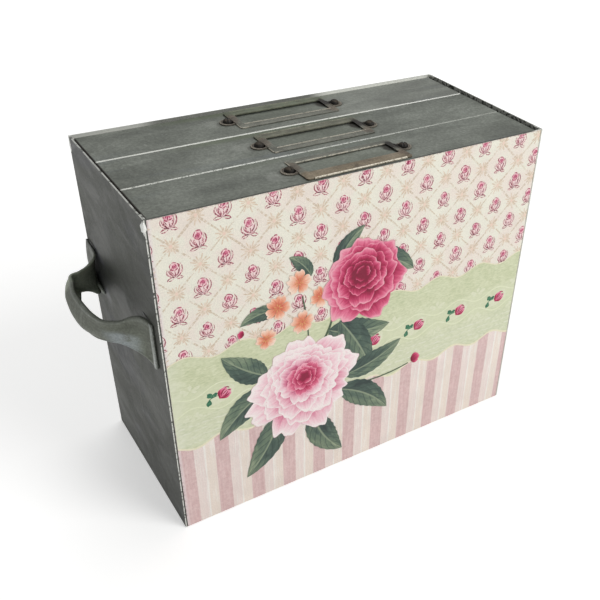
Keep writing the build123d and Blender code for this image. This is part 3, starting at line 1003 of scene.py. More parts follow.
def bandInk(looks):
    recipe = Recipe("bandInk")
    place = recipe.place()
    across, down = millimetres(recipe)
    weave = recipe.noise(recipe.stretch(place, (1.0, 1.0, 2.6)), 330.0, 3.0, 0.7)
    cloud = recipe.noise(place, 38.0, 4.0, 0.6)
    mottle = recipe.noise(recipe.stretch(place, (1.0, 1.0, 1.6)), 110.0, 4.0, 0.65, 0.5)
    tone = recipe.plus(recipe.times(cloud, 0.2), recipe.times(mottle, 0.3))
    tone = recipe.plus(recipe.times(weave, 0.5), tone)
    colour = recipe.ramp(tone, evenStops(looks["green"], 0.38, 0.62))
    rows = recipe.math("PINGPONG", recipe.plus(down, recipe.times(weave, 3.0)), looks["threads"])
    thread = recipe.times(recipe.step(rows, 1.3, 2.0), recipe.step(weave, 0.42, 0.6))
    low = recipe.times(recipe.step(down, *looks["laceFrom"]), recipe.step(down, *looks["laceTo"], 1.0, 0.35))
    allOver, alongThreads = looks["laceShare"]
    lace = recipe.times(recipe.plus(recipe.times(thread, alongThreads), allOver), low)
    colour = recipe.mix(lace, colour, rgb(*looks["lace"]))
    middle, near, far, share = looks["paleMiddle"]
    pale = recipe.step(recipe.size(recipe.minus(down, middle)), near, far, share, 0.0)
    colour = recipe.mix(pale, colour, rgb(*looks["green"][2]))
    faded = recipe.step(across, *looks["fadedLeft"], looks["fadedShare"], 0.0)
    faded = recipe.times(faded, recipe.step(mottle, 0.35, 0.6, 0.5, 1.0))
    colour = recipe.mix(faded, colour, rgb(*looks["faded"]))
    normal = recipe.bump(weave, 0.12, 0.0003)
    return finishPrint(recipe, colour, recipe.step(cloud, 0.3, 0.7, 0.42, 0.56), normal)


def makeBand(looks):
    bm = bmesh.new()

    def strip(s, t):
        across = (s + 1) * caseHigh.x / mm
        top, low = wave(looks, "topEdge", across), wave(looks, "lowEdge", across)
        return across, top + (low - top) * (1 - t) / 2

    addPatch(bm, (180, 4), strip, 8)
    finishInk(bm, "greenBand", bandInk(looks))

    for piece, names in (("bandEdges", ("topEdge", "lowEdge")), ("bandLines", ("upperLine", "lowerLine"))):
        bm = bmesh.new()
        for name in names:
            width = looks["edgeWidth"].get(name, looks["lineWidth"])
            wavyLine(bm, lambda across: wave(looks, name, across), width, 10)
        colours = looks["edge"] if piece == "bandEdges" else looks["cream"]
        finishInk(bm, piece, inkMaterial(f"{piece}Ink", colours))

    fleurons, buds, marks, leaves = bmesh.new(), bmesh.new(), bmesh.new(), bmesh.new()
    for k in range(int(2 * caseHigh.x / mm / looks["period"]) + 2):
        x = looks["first"] + (k - 0.5) * looks["period"] + looks["sprayShift"]
        for y, up in looks["sprays"]:
            for turn, reach, half in looks["sprayLeaves"]:
                petal = petalPlace((x, y), math.radians(turn + up), 0.4, reach, half, 0.3, 0.08, turn)
                addPatch(fleurons, (3, 4), petal, 9)

        after, y = looks["budPlace"]
        x = looks["first"] + after + k * looks["period"]
        lean = random.uniform(*looks["budLean"])
        foot, turn, reach, half = looks["halo"]
        halo = petalPlace((x + foot[0], y + foot[1]), math.radians(turn), 0.0, reach, half, 0.75, 0.03, k)
        addPatch(fleurons, (4, 6), halo, 9)
        foot = looks["budFoot"]
        for number, (turn, reach, half, tone) in enumerate(looks["petals"]):
            angle = math.radians(lean + turn + stray(4))
            petal = petalPlace((x + foot[0], y + foot[1]), angle, -1.0, reach, half, 0.55, 0.05, number)
            addPatch(buds, (4, 5), petal, 12 + number, number, 0.0, tone)
        for number, points in enumerate(looks["marks"]):
            shifted = strayed([(x + across, y + down) for across, down in points], looks["markStray"])
            stroke = strokePlace(shifted, random.uniform(*looks["markWidth"]))
            addPatch(marks, (1, 4), stroke, 17 + number % 3)
        stem = [(x + across, y + down) for across, down in looks["stem"]]
        addPatch(leaves, (1, 6), strokePlace(stem, looks["stemWidth"]), 11)
        for foot, turn, reach, up in looks["stemLeaves"]:
            middle = (x + foot[0], y + foot[1])
            petal = petalPlace(middle, math.radians(turn), 0.0, reach, looks["leafHalfWidth"], 0.4, 0.06)
            addPatch(leaves, (3, 5), petal, 12 + up)
    finishInk(fleurons, "fleurons", inkMaterial("fleuronInk", looks["fleuron"]))
    finishInk(buds, "roseBuds", petalInk("budInk", looks["bud"]))
    finishInk(marks, "budMarks", inkMaterial("budMarkInk", looks["budMark"], scale=800.0))
    finishInk(leaves, "budLeaves", inkMaterial("budLeafInk", looks["budLeaf"]))


def leafInk(name, colours):
    recipe = Recipe(name)
    place = recipe.place()
    u, v = recipe.split(recipe.surface())[:2]
    across = recipe.minus(recipe.times(recipe.math("FRACT", u), 2.0), 1.0)
    side = recipe.size(across)
    number = recipe.math("FLOOR", u)
    lie = recipe.join(recipe.times(across, 2.0), recipe.times(v, 4.0), number)
    brush = recipe.noise(lie, 1.0, 4.0, 0.65, 0.5)
    vein = recipe.math("PINGPONG", recipe.minus(recipe.times(v, 7.0), recipe.times(side, 1.9)), 0.5)
    vein = recipe.step(vein, 0.02, 0.14, 1.0, 0.0)
    rib = recipe.step(side, 0.03, 0.09, 1.0, 0.0)
    half = recipe.step(across, -0.05, 0.05, 0.0, 0.16)
    light = recipe.plus(recipe.times(brush, 0.75), half)
    light = recipe.plus(light, recipe.times(recipe.step(v, 0.3, 1.0), 0.22))
    colour = recipe.ramp(light, evenStops(colours, 0.25, 0.85))
    colour = recipe.mix(recipe.times(vein, 0.55), colour, rgb(*colours[0]))
    colour = recipe.mix(recipe.times(rib, 0.7), colour, rgb(*colours[-1]))
    grain = recipe.noise(place, paperGrain, 2.0, 0.8)
    normal = recipe.bump(grain, 0.12, 0.0003)
    return finishPrint(recipe, colour, recipe.step(brush, 0.3, 0.7, 0.44, 0.56), normal)


makeBand(bandLooks)
print("band printed")


bouquetLooks = {
    "leafColours": [(40, 56, 54), (74, 94, 84), (112, 130, 108), (158, 170, 142)],
    "stemColours": [(60, 78, 62), (98, 116, 86)],
    # in mm from the left and from the top of the case; leaves from stalk to tip: points and half width
    "leaves": [
        ((104, 100), (122, 112), (150, 110), 10.0),
        ((112, 96), (128, 118), (136, 140), 9.5),
        ((120, 60), (150, 58), (166, 74), 9.0),
        ((62, 119), (48, 112), (33, 95), 8.5),
        ((64, 128), (42, 136), (28, 156), 9.0),
        ((70, 150), (64, 176), (44, 196), 10.0),
        ((92, 160), (98, 188), (116, 204), 9.5),
        ((112, 150), (136, 160), (152, 182), 9.5),
        ((116, 140), (140, 140), (160, 126), 8.0),
        ((110, 60), (112, 44), (128, 34), 6.0),
        ((74, 76), (58, 70), (46, 78), 5.0),
        ((92, 58), (88, 48), (78, 42), 4.5),
    ],
    "teeth": 9,                      # along each side of a leaf
    "stems": [
        ((108, 86), (106, 100), (98, 110), 1.6),
        ((112, 148), (140, 156), (168, 150), 1.1),
        ((86, 70), (90, 88), (90, 104), 1.0),
    ],
    # small blossoms: middle, size, turn
    "blossoms": [
        (84, 60, 8.6, 10),
        (99, 74, 8.2, 40),
        (70, 73, 8.8, 25),
        (62, 92, 7.4, 60),
        (86, 88, 8.4, 5),
    ],
    "blossomPetals": 5,
    "blossomThreads": 7,             # short strokes round a blossom's middle
    "blossomColours": [(216, 112, 86), (238, 158, 126), (248, 198, 172), (252, 226, 208)],
    "blossomHeart": [(196, 92, 60), (240, 196, 130)],
    # rings of a flower from the outside in: petals, reach, half width, shift of the middle, hidden share and
    # tone
    "peony": {
        "middle": (86, 134),
        "colours": [(190, 70, 110), (224, 138, 164), (243, 192, 204), (251, 224, 228), (254, 242, 240)],
        "rings": [
            (9, 39.0, 13.5, (0.0, 0.0), 0.40, 0.10),
            (9, 33.5, 12.0, (0.5, -0.5), 0.40, 0.02),
            (8, 28.5, 11.0, (0.0, -1.5), 0.38, 0.04),
            (8, 23.5, 9.5, (0.0, -2.5), 0.36, -0.02),
            (7, 18.5, 8.0, (0.5, -3.5), 0.36, -0.04),
        ],
    },
    "peonyHeart": {
        "middle": (86.5, 130),
        "colours": [(142, 22, 60), (186, 44, 88), (222, 104, 138), (246, 180, 196)],
        "rings": [
            (7, 13.5, 5.4, (0.0, 0.0), 0.30, 0.05),
            (6, 9.5, 4.4, (0.3, -0.6), 0.25, -0.02),
            (5, 6.0, 3.2, (0.0, -0.8), 0.2, -0.10),
        ],
    },
    "camellia": {
        "middle": (128, 70),
        "colours": [(130, 14, 52), (168, 28, 74), (206, 70, 112), (232, 124, 154), (244, 172, 188)],
        "rings": [
            (7, 31.0, 13.5, (0.0, 0.0), 0.42, 0.00),
            (7, 26.0, 12.0, (0.0, -1.0), 0.42, -0.05),
            (6, 20.5, 10.0, (-0.5, -2.0), 0.40, -0.10),
            (5, 15.0, 8.0, (-0.5, -3.0), 0.36, -0.16),
            (5, 10.0, 5.6, (-0.5, -3.6), 0.30, -0.22),
            (3, 5.6, 3.6, (-0.5, -4.0), 0.0, -0.26),
        ],
    },
    # closed buds: middle, turn and size; then the turn and the reach of each petal
    "buds": [(170, 148, 80, 7.0), (48, 84, -70, 4.0)],
    "budPetals": ((-26, 0.95), (26, 0.95), (0, 1.05)),
    # layers of ink
    "stemLevel": 20,
    "leafLevel": 21,
    "blossomLevel": 24,
    "heartLevel": 27,
    "flowerLevel": 28,
}


def leafPlace(points, halfWidth, teeth):
    # a leaf along a curve, widest below its middle, with small teeth
    def place(s, t):
        along = (t + 1) / 2
        here = bezier(points, along)
        ahead = bezier(points, min(1.0, along + 0.02)) - bezier(points, max(0.0, along - 0.02))
        side = Vector((-ahead.y, ahead.x)).normalized()
        width = halfWidth * math.sin(math.pi * along ** 0.8) ** 0.8
        width *= 1 + 0.07 * abs(2 * ((along * teeth) % 1) - 1)
        return here + side * s * width

    return place


def makeFlower(name, looks, firstLevel):
    bm = bmesh.new()
    level, number = firstLevel, 0
    for petals, reach, halfWidth, shift, hidden, tone in looks["rings"]:
        middle = (looks["middle"][0] + shift[0], looks["middle"][1] + shift[1])
        first = random.uniform(0, 2 * math.pi)
        for k in range(petals):
            angle = first + 2 * math.pi * k / petals + stray(0.12)
            # the flower looks up a little, so that its lower petals are longer
            far = reach * (1 - 0.07 * math.cos(angle)) * random.uniform(0.88, 1.06)
            wide = halfWidth * random.uniform(0.92, 1.08)
            petal = petalPlace(middle, angle, 0.0, far, wide, 0.4, 0.05, random.uniform(0, 6), 0.03)
            # no petal lies in the same layer as the one beside it
            up = 3 if k == petals - 1 and petals % 3 == 1 else 0
            shade = tone + random.uniform(-0.14, 0.10)
            addPatch(bm, (12, 10), petal, level + k % 3 + up, number, hidden, shade)
            number += 1
        level += 4
    finishInk(bm, name, petalInk(f"{name}Ink", looks["colours"]))
    return level


def makeBouquet(looks):
    leaves, stems = bmesh.new(), bmesh.new()
    for number, (start, bend, tip, halfWidth) in enumerate(looks["leaves"]):
        leaf = leafPlace([start, bend, tip], halfWidth, looks["teeth"])
        addPatch(leaves, (8, 18), leaf, looks["leafLevel"] + number % 3, number)
    for start, bend, tip, width in looks["stems"]:
        addPatch(stems, (1, 12), strokePlace([start, bend, tip], width, 0.3), looks["stemLevel"])
    finishInk(leaves, "leaves", leafInk("leafInk", looks["leafColours"]))
    finishInk(stems, "stems", inkMaterial("stemInk", looks["stemColours"]))

    blossoms, hearts = bmesh.new(), bmesh.new()
    petals, threads = looks["blossomPetals"], looks["blossomThreads"]
    for number, (x, y, size, turn) in enumerate(looks["blossoms"]):
        for k in range(petals):
            angle = math.radians(turn + 360 / petals * k) + stray(0.1)
            petal = petalPlace((x, y), angle, 0.0, size, size * 0.43, 0.3, 0.06, k, 0.15)
            level = looks["blossomLevel"] + k % 2 + 2 * (k == petals - 1)
            addPatch(blossoms, (6, 6), petal, level, petals * number + k, 0.0, random.uniform(-0.15, 0.2))
        for k in range(threads):
            angle = 2 * math.pi * k / threads + turn
            petal = petalPlace((x, y), angle, 0.4, size * 0.38, 0.4, 0.6)
            addPatch(hearts, (1, 2), petal, looks["heartLevel"])
    finishInk(blossoms, "blossoms", petalInk("blossomInk", looks["blossomColours"], 0.7))
    finishInk(hearts, "blossomHearts", inkMaterial("blossomHeartInk", looks["blossomHeart"]))

    level = makeFlower("peony", looks["peony"], looks["flowerLevel"])
    makeFlower("peonyHeart", looks["peonyHeart"], level)
    makeFlower("camellia", looks["camellia"], looks["flowerLevel"])
    bm = bmesh.new()
    for number, (x, y, turn, size) in enumerate(looks["buds"]):
        for k, (side, reach) in enumerate(looks["budPetals"]):
            petal = petalPlace((x, y), math.radians(turn + side), 0.0, size * reach, size * 0.42, 0.6, 0.03)
            addPatch(bm, (5, 6), petal, looks["blossomLevel"] + k, len(looks["budPetals"]) * number + k)
    finishInk(bm, "closedBuds", petalInk("closedBudInk", looks["camellia"]["colours"][:4]))


makeBouquet(bouquetLooks)
print("bouquet printed")


handleLooks = {
    "sheet": 1.2,
    # From the front foot round the loop to the back foot, the upper edge, the middle and the lower edge of
    # the strap: mm behind the middle of the handle, mm out from the wall, mm above the ground.
    "stations": [
        ((-55.3, 0.6, 152.0), (-55.3, 0.6, 137.5), (-55.3, 0.6, 123.0)),
        ((-49.0, 1.0, 152.0), (-50.0, 1.2, 137.5), (-50.0, 1.1, 123.6)),
        ((-43.0, 3.2, 151.8), (-45.0, 4.0, 138.0), (-46.0, 3.6, 127.0)),
        ((-37.5, 6.8, 149.5), (-39.0, 9.0, 138.0), (-41.0, 7.2, 130.0)),
        ((-34.0, 12.0, 146.5), (-34.0, 13.5, 138.0), (-34.0, 12.0, 131.4)),
        ((-28.0, 18.6, 145.5), (-28.0, 19.3, 137.5), (-28.0, 17.0, 131.2)),
        ((-18.8, 21.4, 145.0), (-19.0, 23.4, 135.5), (-18.5, 21.4, 130.0)),
        ((-9.0, 22.4, 144.6), (-9.0, 26.6, 134.0), (-8.0, 23.2, 129.8)),
        ((2.0, 22.8, 144.2), (3.0, 27.7, 134.5), (3.0, 23.0, 129.8)),
        ((12.0, 22.4, 143.7), (14.0, 27.1, 134.8), (13.0, 20.5, 130.0)),
        ((22.0, 20.2, 143.3), (24.0, 25.4, 135.0), (23.0, 17.6, 130.2)),
        ((30.6, 18.6, 143.0), (34.3, 21.0, 135.0), (32.0, 14.8, 129.6)),
        ((32.3, 13.2, 143.2), (36.0, 14.5, 134.5), (35.5, 12.0, 127.2)),
        ((34.8, 6.6, 144.6), (39.6, 7.4, 135.0), (38.2, 7.6, 124.0)),
        ((37.8, 1.8, 148.6), (44.6, 2.2, 135.6), (39.2, 3.0, 120.4)),
        ((43.0, 0.9, 151.0), (49.0, 1.7, 137.0), (45.0, 0.9, 120.6)),
        ((55.3, 0.7, 151.5), (55.3, 2.0, 137.0), (55.3, 0.7, 123.0)),
    ],
    "steps": 8,
    # folded edge: share of the way from the edge to the middle, and how far it stands out, mm
    "fold": [(0.0, 0.1), (0.03, 0.6), (0.09, 0.8), (0.16, 0.65), (0.22, 0.15), (0.27, 0.20), (0.33, 0.0)],
    "lowFold": 0.7,                  # the lower fold stands out by this share
    "flatColumns": 26,               # towards the back foot the folds are flatter, by flatShare
    "flatShare": 0.35,
    "hem": 3.4,                      # how wide the folded end of a foot is
    "hemPlaces": (0.2, 0.5, 0.8, 1.0),
    "hemRise": (0.7, 0.7, 0.65, 0.4, 0.1),       # how far it stands out, from the end inwards
    # the flared lower edge of the back foot: its two ends, and how thick it is at each
    "flare": ((47.6, 2.4, 128.4), (35.6, 0.6, 121.9), 1.25, 0.8),
    "bareFold": 0.12,
    # the finish, and in mm where its marks are: along the box, up, and out from its middle
    "colours": [(0.30, (86, 90, 80)), (0.5, (108, 112, 101)), (0.72, (132, 136, 128))],
    # The folded ends of the feet and the flare of the back foot are painted pale as bare metal: painted
    # light, for the light they catch.
    "bare": (188, 194, 188),
    "bareAndLitShare": 0.95,
    "polishedSheen": (172, 180, 184),     # a smear below the flare of the front foot: polished metal, painted paler and bluer as a sheen
    "polishedSheenShare": 0.7,
    "polishedSheenAlong": (-44.0, -38.0, -32.0, -20.0),
    "polishedSheenBelow": (137.0, 141.0),
    "rubbed": (150, 158, 142),       # beside the front foot
    "rubbedAlong": (-46.0, -41.0, -38.0, -34.0),
    "rubbedBelow": (139.0, 145.0),
    "litLeg": (168, 176, 158),        # the inner side of the back leg, painted paler: painted light on a face in shade
    "litLegShare": 0.75,
    "litLegAlong": (22.0, 30.0, 46.0, 50.0),
    "litLegOut": (130.5, 132.0),
    "foot": ((62, 65, 57), (92, 95, 86)),        # the back foot is darker, with streaks
    "footShare": 0.75,
    "footAlong": (34.0, 48.0),
    "paintedShade": (36, 37, 36),            # painted shade where the back foot meets the loop by the wall, and along its upper edge
    "paintedShadeShare": 0.5,
    "shadeAlong": (36.0, 40.0, 46.0, 52.0),
    "shadeOut": (131.8, 134.0, 0.4),
    "shadeEdgeUp": (148.0, 150.0),
    "shadeEdgeAlong": (38.0, 42.0),
}


def smoothCurve(points, steps):
    # a curve that passes through all the points
    ends = [2 * points[0] - points[1]] + points + [2 * points[-1] - points[-2]]
    curve = []
    for a, b, c, d in zip(ends, ends[1:], ends[2:], ends[3:]):
        for k in range(steps):
            t = k / steps
            bend = (2 * a - 5 * b + 4 * c - d) * t * t + (3 * (b - c) + d - a) * t ** 3
            curve.append((2 * b + (c - a) * t + bend) / 2)
    return curve + [points[-1]]


def makeHandle(name, side, looks, material):
    low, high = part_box(name)
    middleY = (low.y + high.y) / 2 / mm
    wallX = side * caseHigh.x / mm
    hemColumns = len(looks["hemRise"])
    edges = []
    for k in range(3):
        points = [Vector(station[k]) for station in looks["stations"]]
        curve = smoothCurve(points, looks["steps"])
        # more places near the ends, where the feet are folded over
        for end, step in ((0, 1), (len(curve) - 1, -1)):
            away = (curve[end + step] - curve[end]).normalized()
            extra = [curve[end] + away * share * looks["hem"] for share in looks["hemPlaces"]]
            position = 1 if step == 1 else len(curve) - 1
            curve[position:position] = extra if step == 1 else extra[::-1]
        edges.append(curve)
    count = len(edges[0])
    # once round the section: down the outer side with its folded edges, up again on the inner side
    flat = [(k / 10, 0.0) for k in range(4, 17)]
    lowFold = [(2 - share, looks["lowFold"] * rise) for share, rise in reversed(looks["fold"])]
    outer = looks["fold"] + flat + lowFold
    inner = [(2 - share, -looks["sheet"]) for share in (0.0, 0.1, 0.4, 0.8, 1.2, 1.6, 1.9, 2.0)]
    rows = outer + inner + outer[:1]

    def onStrap(column, t):
        # t is 0 at the upper edge, 1 in the middle and 2 at the lower edge
        upper, belly, lower = (edge[column] for edge in edges)
        control = 2 * belly - (upper + lower) / 2
        t /= 2
        return upper * (1 - t) ** 2 + control * 2 * t * (1 - t) + lower * t * t

    bm = bmesh.new()
    bare = bm.verts.layers.float.new("bare")
    made = bmesh.ops.create_grid(bm, x_segments=count - 1, y_segments=len(rows) - 1, size=1.0)["verts"]
    for vert in made:
        column = round((vert.co.x + 1) / 2 * (count - 1))
        t, rise = rows[round((vert.co.y + 1) / 2 * (len(rows) - 1))]
        along = onStrap(min(column + 1, count - 1), t) - onStrap(max(column - 1, 0), t)
        across = onStrap(column, min(2.0, t + 0.05)) - onStrap(column, max(0.0, t - 0.05))
        toEnd = min(column, count - 1 - column)
        hem = looks["hemRise"][toEnd] if column < hemColumns and rise >= 0 else 0.0
        if 0 < rise and toEnd < hemColumns:
            rise = 0.0
        if rise > 0 and column > count - looks["flatColumns"]:
            rise *= looks["flatShare"]
        out = rise + hem + looks["sheet"] / 2
        here = onStrap(column, t) + along.cross(across).normalized() * out
        vert.co = Vector((wallX + side * here.y, here.x + middleY, here.z)) * mm
        # pale on the folded ends of the feet, as painted light; a little bare along the folds
        vert[bare] = 1.0 if hem > 0.05 else (looks["bareFold"] if rise > 0.5 else 0.0)
    bmesh.ops.remove_doubles(bm, verts=bm.verts, dist=0.005 * mm)
    bmesh.ops.holes_fill(bm, edges=[edge for edge in bm.edges if edge.is_boundary])
    start, end, thick, thin = looks["flare"]
    start, end = (Vector((wallX + side * p[1], p[0] + middleY, p[2])) for p in (start, end))
    made = bmesh.ops.create_cone(bm, cap_ends=True, segments=12, radius1=thick, radius2=thin,
                                 depth=(end - start).length)["verts"]
    turn = (end - start).to_track_quat("Z", "Y").to_matrix()
    for vert in made:
        vert.co = ((start + end) / 2 + turn @ vert.co) * mm
        # the flare gets the pale colour: painted light
        vert[bare] = 1.0
    bmesh.ops.recalc_face_normals(bm, faces=bm.faces)
    return finishPiece(bm, f"{name}_strap", material, "case", replaced=[name])


def handleZinc(looks):
    recipe = Recipe("handleZinc")
    place = recipe.place()
    worn = recipe.add("Attribute", {}, attribute_name="bare").outputs["Fac"]
    cloud = recipe.noise(place, 26.0, 5.0, 0.62, 0.6)
    smear = recipe.noise(recipe.stretch(place, (1.0, 0.4, 1.0)), 90.0, 4.0, 0.65, 0.8)
    grain = recipe.noise(place, 800.0, 3.0, 0.7)
    # brushed along the strap
    brushed = recipe.noise(recipe.stretch(place, (0.3, 0.3, 1.8)), 520.0, 3.0, 0.65, 0.8)
    tone = recipe.plus(recipe.times(smear, 0.2), recipe.times(brushed, 0.35))
    tone = recipe.plus(recipe.times(cloud, 0.45), tone)
    colour = recipe.ramp(tone, [(position, rgb(*shade)) for position, shade in looks["colours"]])
    x, y, z = recipe.split(place)
    out = recipe.size(x)
    # polished metal below the front foot, with a painted sheen
    lowHalf = recipe.step(z, *inMetres(looks["polishedSheenBelow"]), 1.0, 0.0)
    polishedSheen = recipe.times(lowHalf, recipe.band(y, *inMetres(looks["polishedSheenAlong"])))
    polishedSheen = recipe.times(polishedSheen, recipe.step(smear, 0.36, 0.56))
    colour = recipe.mix(recipe.times(polishedSheen, looks["polishedSheenShare"]), colour, rgb(*looks["polishedSheen"]))
    rubbed = recipe.band(y, *inMetres(looks["rubbedAlong"]))
    rubbed = recipe.times(rubbed, recipe.step(z, *inMetres(looks["rubbedBelow"]), 1.0, 0.0))
    rubbed = recipe.times(rubbed, recipe.step(cloud, 0.40, 0.56, 0.2, 0.6))
    colour = recipe.mix(rubbed, colour, rgb(*looks["rubbed"]))
    patches = recipe.step(recipe.noise(place, 210.0, 3.0, 0.6), 0.30, 0.55, 0.75, 1.0)
    worn = recipe.times(worn, patches)
    colour = recipe.mix(recipe.times(worn, looks["bareAndLitShare"]), colour, rgb(*looks["bare"]))
    # painted light on the inner side of the back leg
    litLeg = recipe.band(y, *inMetres(looks["litLegAlong"]))
    litLeg = recipe.times(litLeg, recipe.step(out, *inMetres(looks["litLegOut"])))
    colour = recipe.mix(recipe.times(litLeg, looks["litLegShare"]), colour, rgb(*looks["litLeg"]))
    streak = recipe.noise(recipe.stretch(place, (1.0, 1.0, 0.3)), 600.0, 3.0, 0.6)
    streak = recipe.step(streak, 0.36, 0.64)
    foot = recipe.step(y, *inMetres(looks["footAlong"]), 0.0, looks["footShare"])
    colour = recipe.mix(foot, colour, recipe.mix(streak, *(rgb(*shade) for shade in looks["foot"])))
    # painted shade where the back foot meets the loop and the wall, and along its upper edge
    far, near, share = looks["shadeOut"]
    gap = recipe.band(y, *inMetres(looks["shadeAlong"]))
    gap = recipe.times(gap, recipe.step(out, *inMetres((far, near)), share, 0.0))
    edge = recipe.step(z, *inMetres(looks["shadeEdgeUp"]))
    edge = recipe.times(edge, recipe.step(y, *inMetres(looks["shadeEdgeAlong"])))
    paintedShade = recipe.times(recipe.either(gap, edge), recipe.step(cloud, 0.3, 0.6, 0.75, 1.0))
    paintedShade = recipe.times(paintedShade, recipe.minus(1.0, worn))
    colour = recipe.mix(recipe.times(paintedShade, looks["paintedShadeShare"]), colour, rgb(*looks["paintedShade"]))
    colour = recipe.shade(colour, recipe.step(grain, 0.35, 0.70, 0.84, 1.14))
    rough = recipe.minus(recipe.step(smear, 0.3, 0.7, 0.44, 0.62), recipe.times(worn, 0.12))
    height = recipe.plus(recipe.times(grain, 0.3), recipe.plus(smear, recipe.times(brushed, 0.5)))
    normal = recipe.bump(height, 0.3, 0.0008, recipe.bump(cloud, 0.6, 0.004))
    return recipe.finish(colour, rough, normal, Metallic=recipe.step(worn, 0.0, 0.8, 0.4, 0.1))


strapZinc = handleZinc(handleLooks)
makeHandle("left_handle", -1, handleLooks, strapZinc)
makeHandle("right_handle", 1, handleLooks, strapZinc)
print("handles bent")


solderLooks = {
    # sizes in mm out from the wall, along it and up
    "corner": (1.0, 2.4, 8.0),
    "cornerPlace": (1.5, 4.8),       # in from the front or the back, and below the top
    "drop": (2.6, 3.2, 6.5),         # the thick drop at the front left
    "dropPlace": (0.1, 0.9, 4.2),    # out from the left, in from the front, below the top
    "bead": (1.3, 15.0, 1.7),
    "beadPlace": (7.0, 0.7),         # in from the ends of the CAD bead, and from its low and high edges
    "lump": 0.16,                    # how uneven they are
    "dropLump": 0.22,
    # pale solder, lightened almost to white as a painted highlight
    "colours": [(0.3, (206, 208, 202)), (0.5, (240, 241, 236)), (0.7, (252, 252, 250))],
    "dull": (104, 107, 102),         # low down, at the handles
    "dullBelow": (170.0, 200.0),
    "dullShare": 0.72,
    "paintedShade": (46, 47, 44),            # painted shade on the upper beads
    "shadeFrom": (140.0, 146.0),
    "shadeTo": (160.0, 170.0),
    "paintedShadeShare": 0.9,
}


def solderMetal(looks):
    recipe = Recipe("solderMetal")
    place = recipe.place()
    cloud = recipe.noise(place, 180.0, 4.0, 0.6)
    colour = recipe.ramp(cloud, [(position, rgb(*shade)) for position, shade in looks["colours"]])
    x, y, z = recipe.split(place)
    dull = recipe.step(z, *inMetres(looks["dullBelow"]), looks["dullShare"], 0.0)
    colour = recipe.mix(dull, colour, rgb(*looks["dull"]))
    # painted shade on the upper beads at the handles
    shadedBeads = recipe.step(z, *inMetres(looks["shadeTo"]), looks["paintedShadeShare"], 0.0)
    shadedBeads = recipe.times(recipe.step(z, *inMetres(looks["shadeFrom"])), shadedBeads)
    colour = recipe.mix(shadedBeads, colour, rgb(*looks["paintedShade"]))
    normal = recipe.bump(cloud, 0.5, 0.0006)
    return recipe.finish(colour, recipe.step(cloud, 0.3, 0.7, 0.32, 0.5), normal, Metallic=0.25)


def addLump(bm, place, size, rough):
    # a ball drawn out to its size, with waves that differ from place to place
    made = bmesh.ops.create_icosphere(bm, subdivisions=3, radius=0.5)["verts"]
    for vert in made:
        ripple = math.sin(9 * vert.co.y + 40 * place[1])
        ripple += math.sin(13 * vert.co.z + 25 * place[2] + 6 * vert.co.y)
        swell = 1 + rough * ripple / 2
        vert.co = Vector([p * mm + swell * c * s * mm for p, c, s in zip(place, vert.co, size)])


def makeSolder(looks, material):
    bm = bmesh.new()
    halfWidth, halfDepth, top = (size / mm for size in caseHigh)
    inwards, below = looks["cornerPlace"]
    for side in (-1, 1):
        for end in (-1, 1):
            place = (side * halfWidth, end * (halfDepth - inwards), top - below)
            addLump(bm, place, looks["corner"], looks["lump"])
    out, inwards, below = looks["dropPlace"]
    addLump(bm, (-halfWidth - out, -halfDepth + inwards, top - below), looks["drop"], looks["dropLump"])
    finishPiece(bm, "corner_smears", material, "case", replaced=["corner_solder"])
    for name, side in (("left", -1), ("right", 1)):
        node = f"{name}_handle_solder"
        low, high = (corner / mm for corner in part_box(node))
        inY, inZ = looks["beadPlace"]
        bm = bmesh.new()
        for y in (low.y + inY, high.y - inY):
            for z in (low.z + inZ, high.z - inZ):
                addLump(bm, (side * halfWidth, y, z), looks["bead"], looks["lump"])
        finishPiece(bm, f"{name}_handle_beads", material, "case", replaced=[node])


makeSolder(solderLooks, solderMetal(solderLooks))
print("solder run")


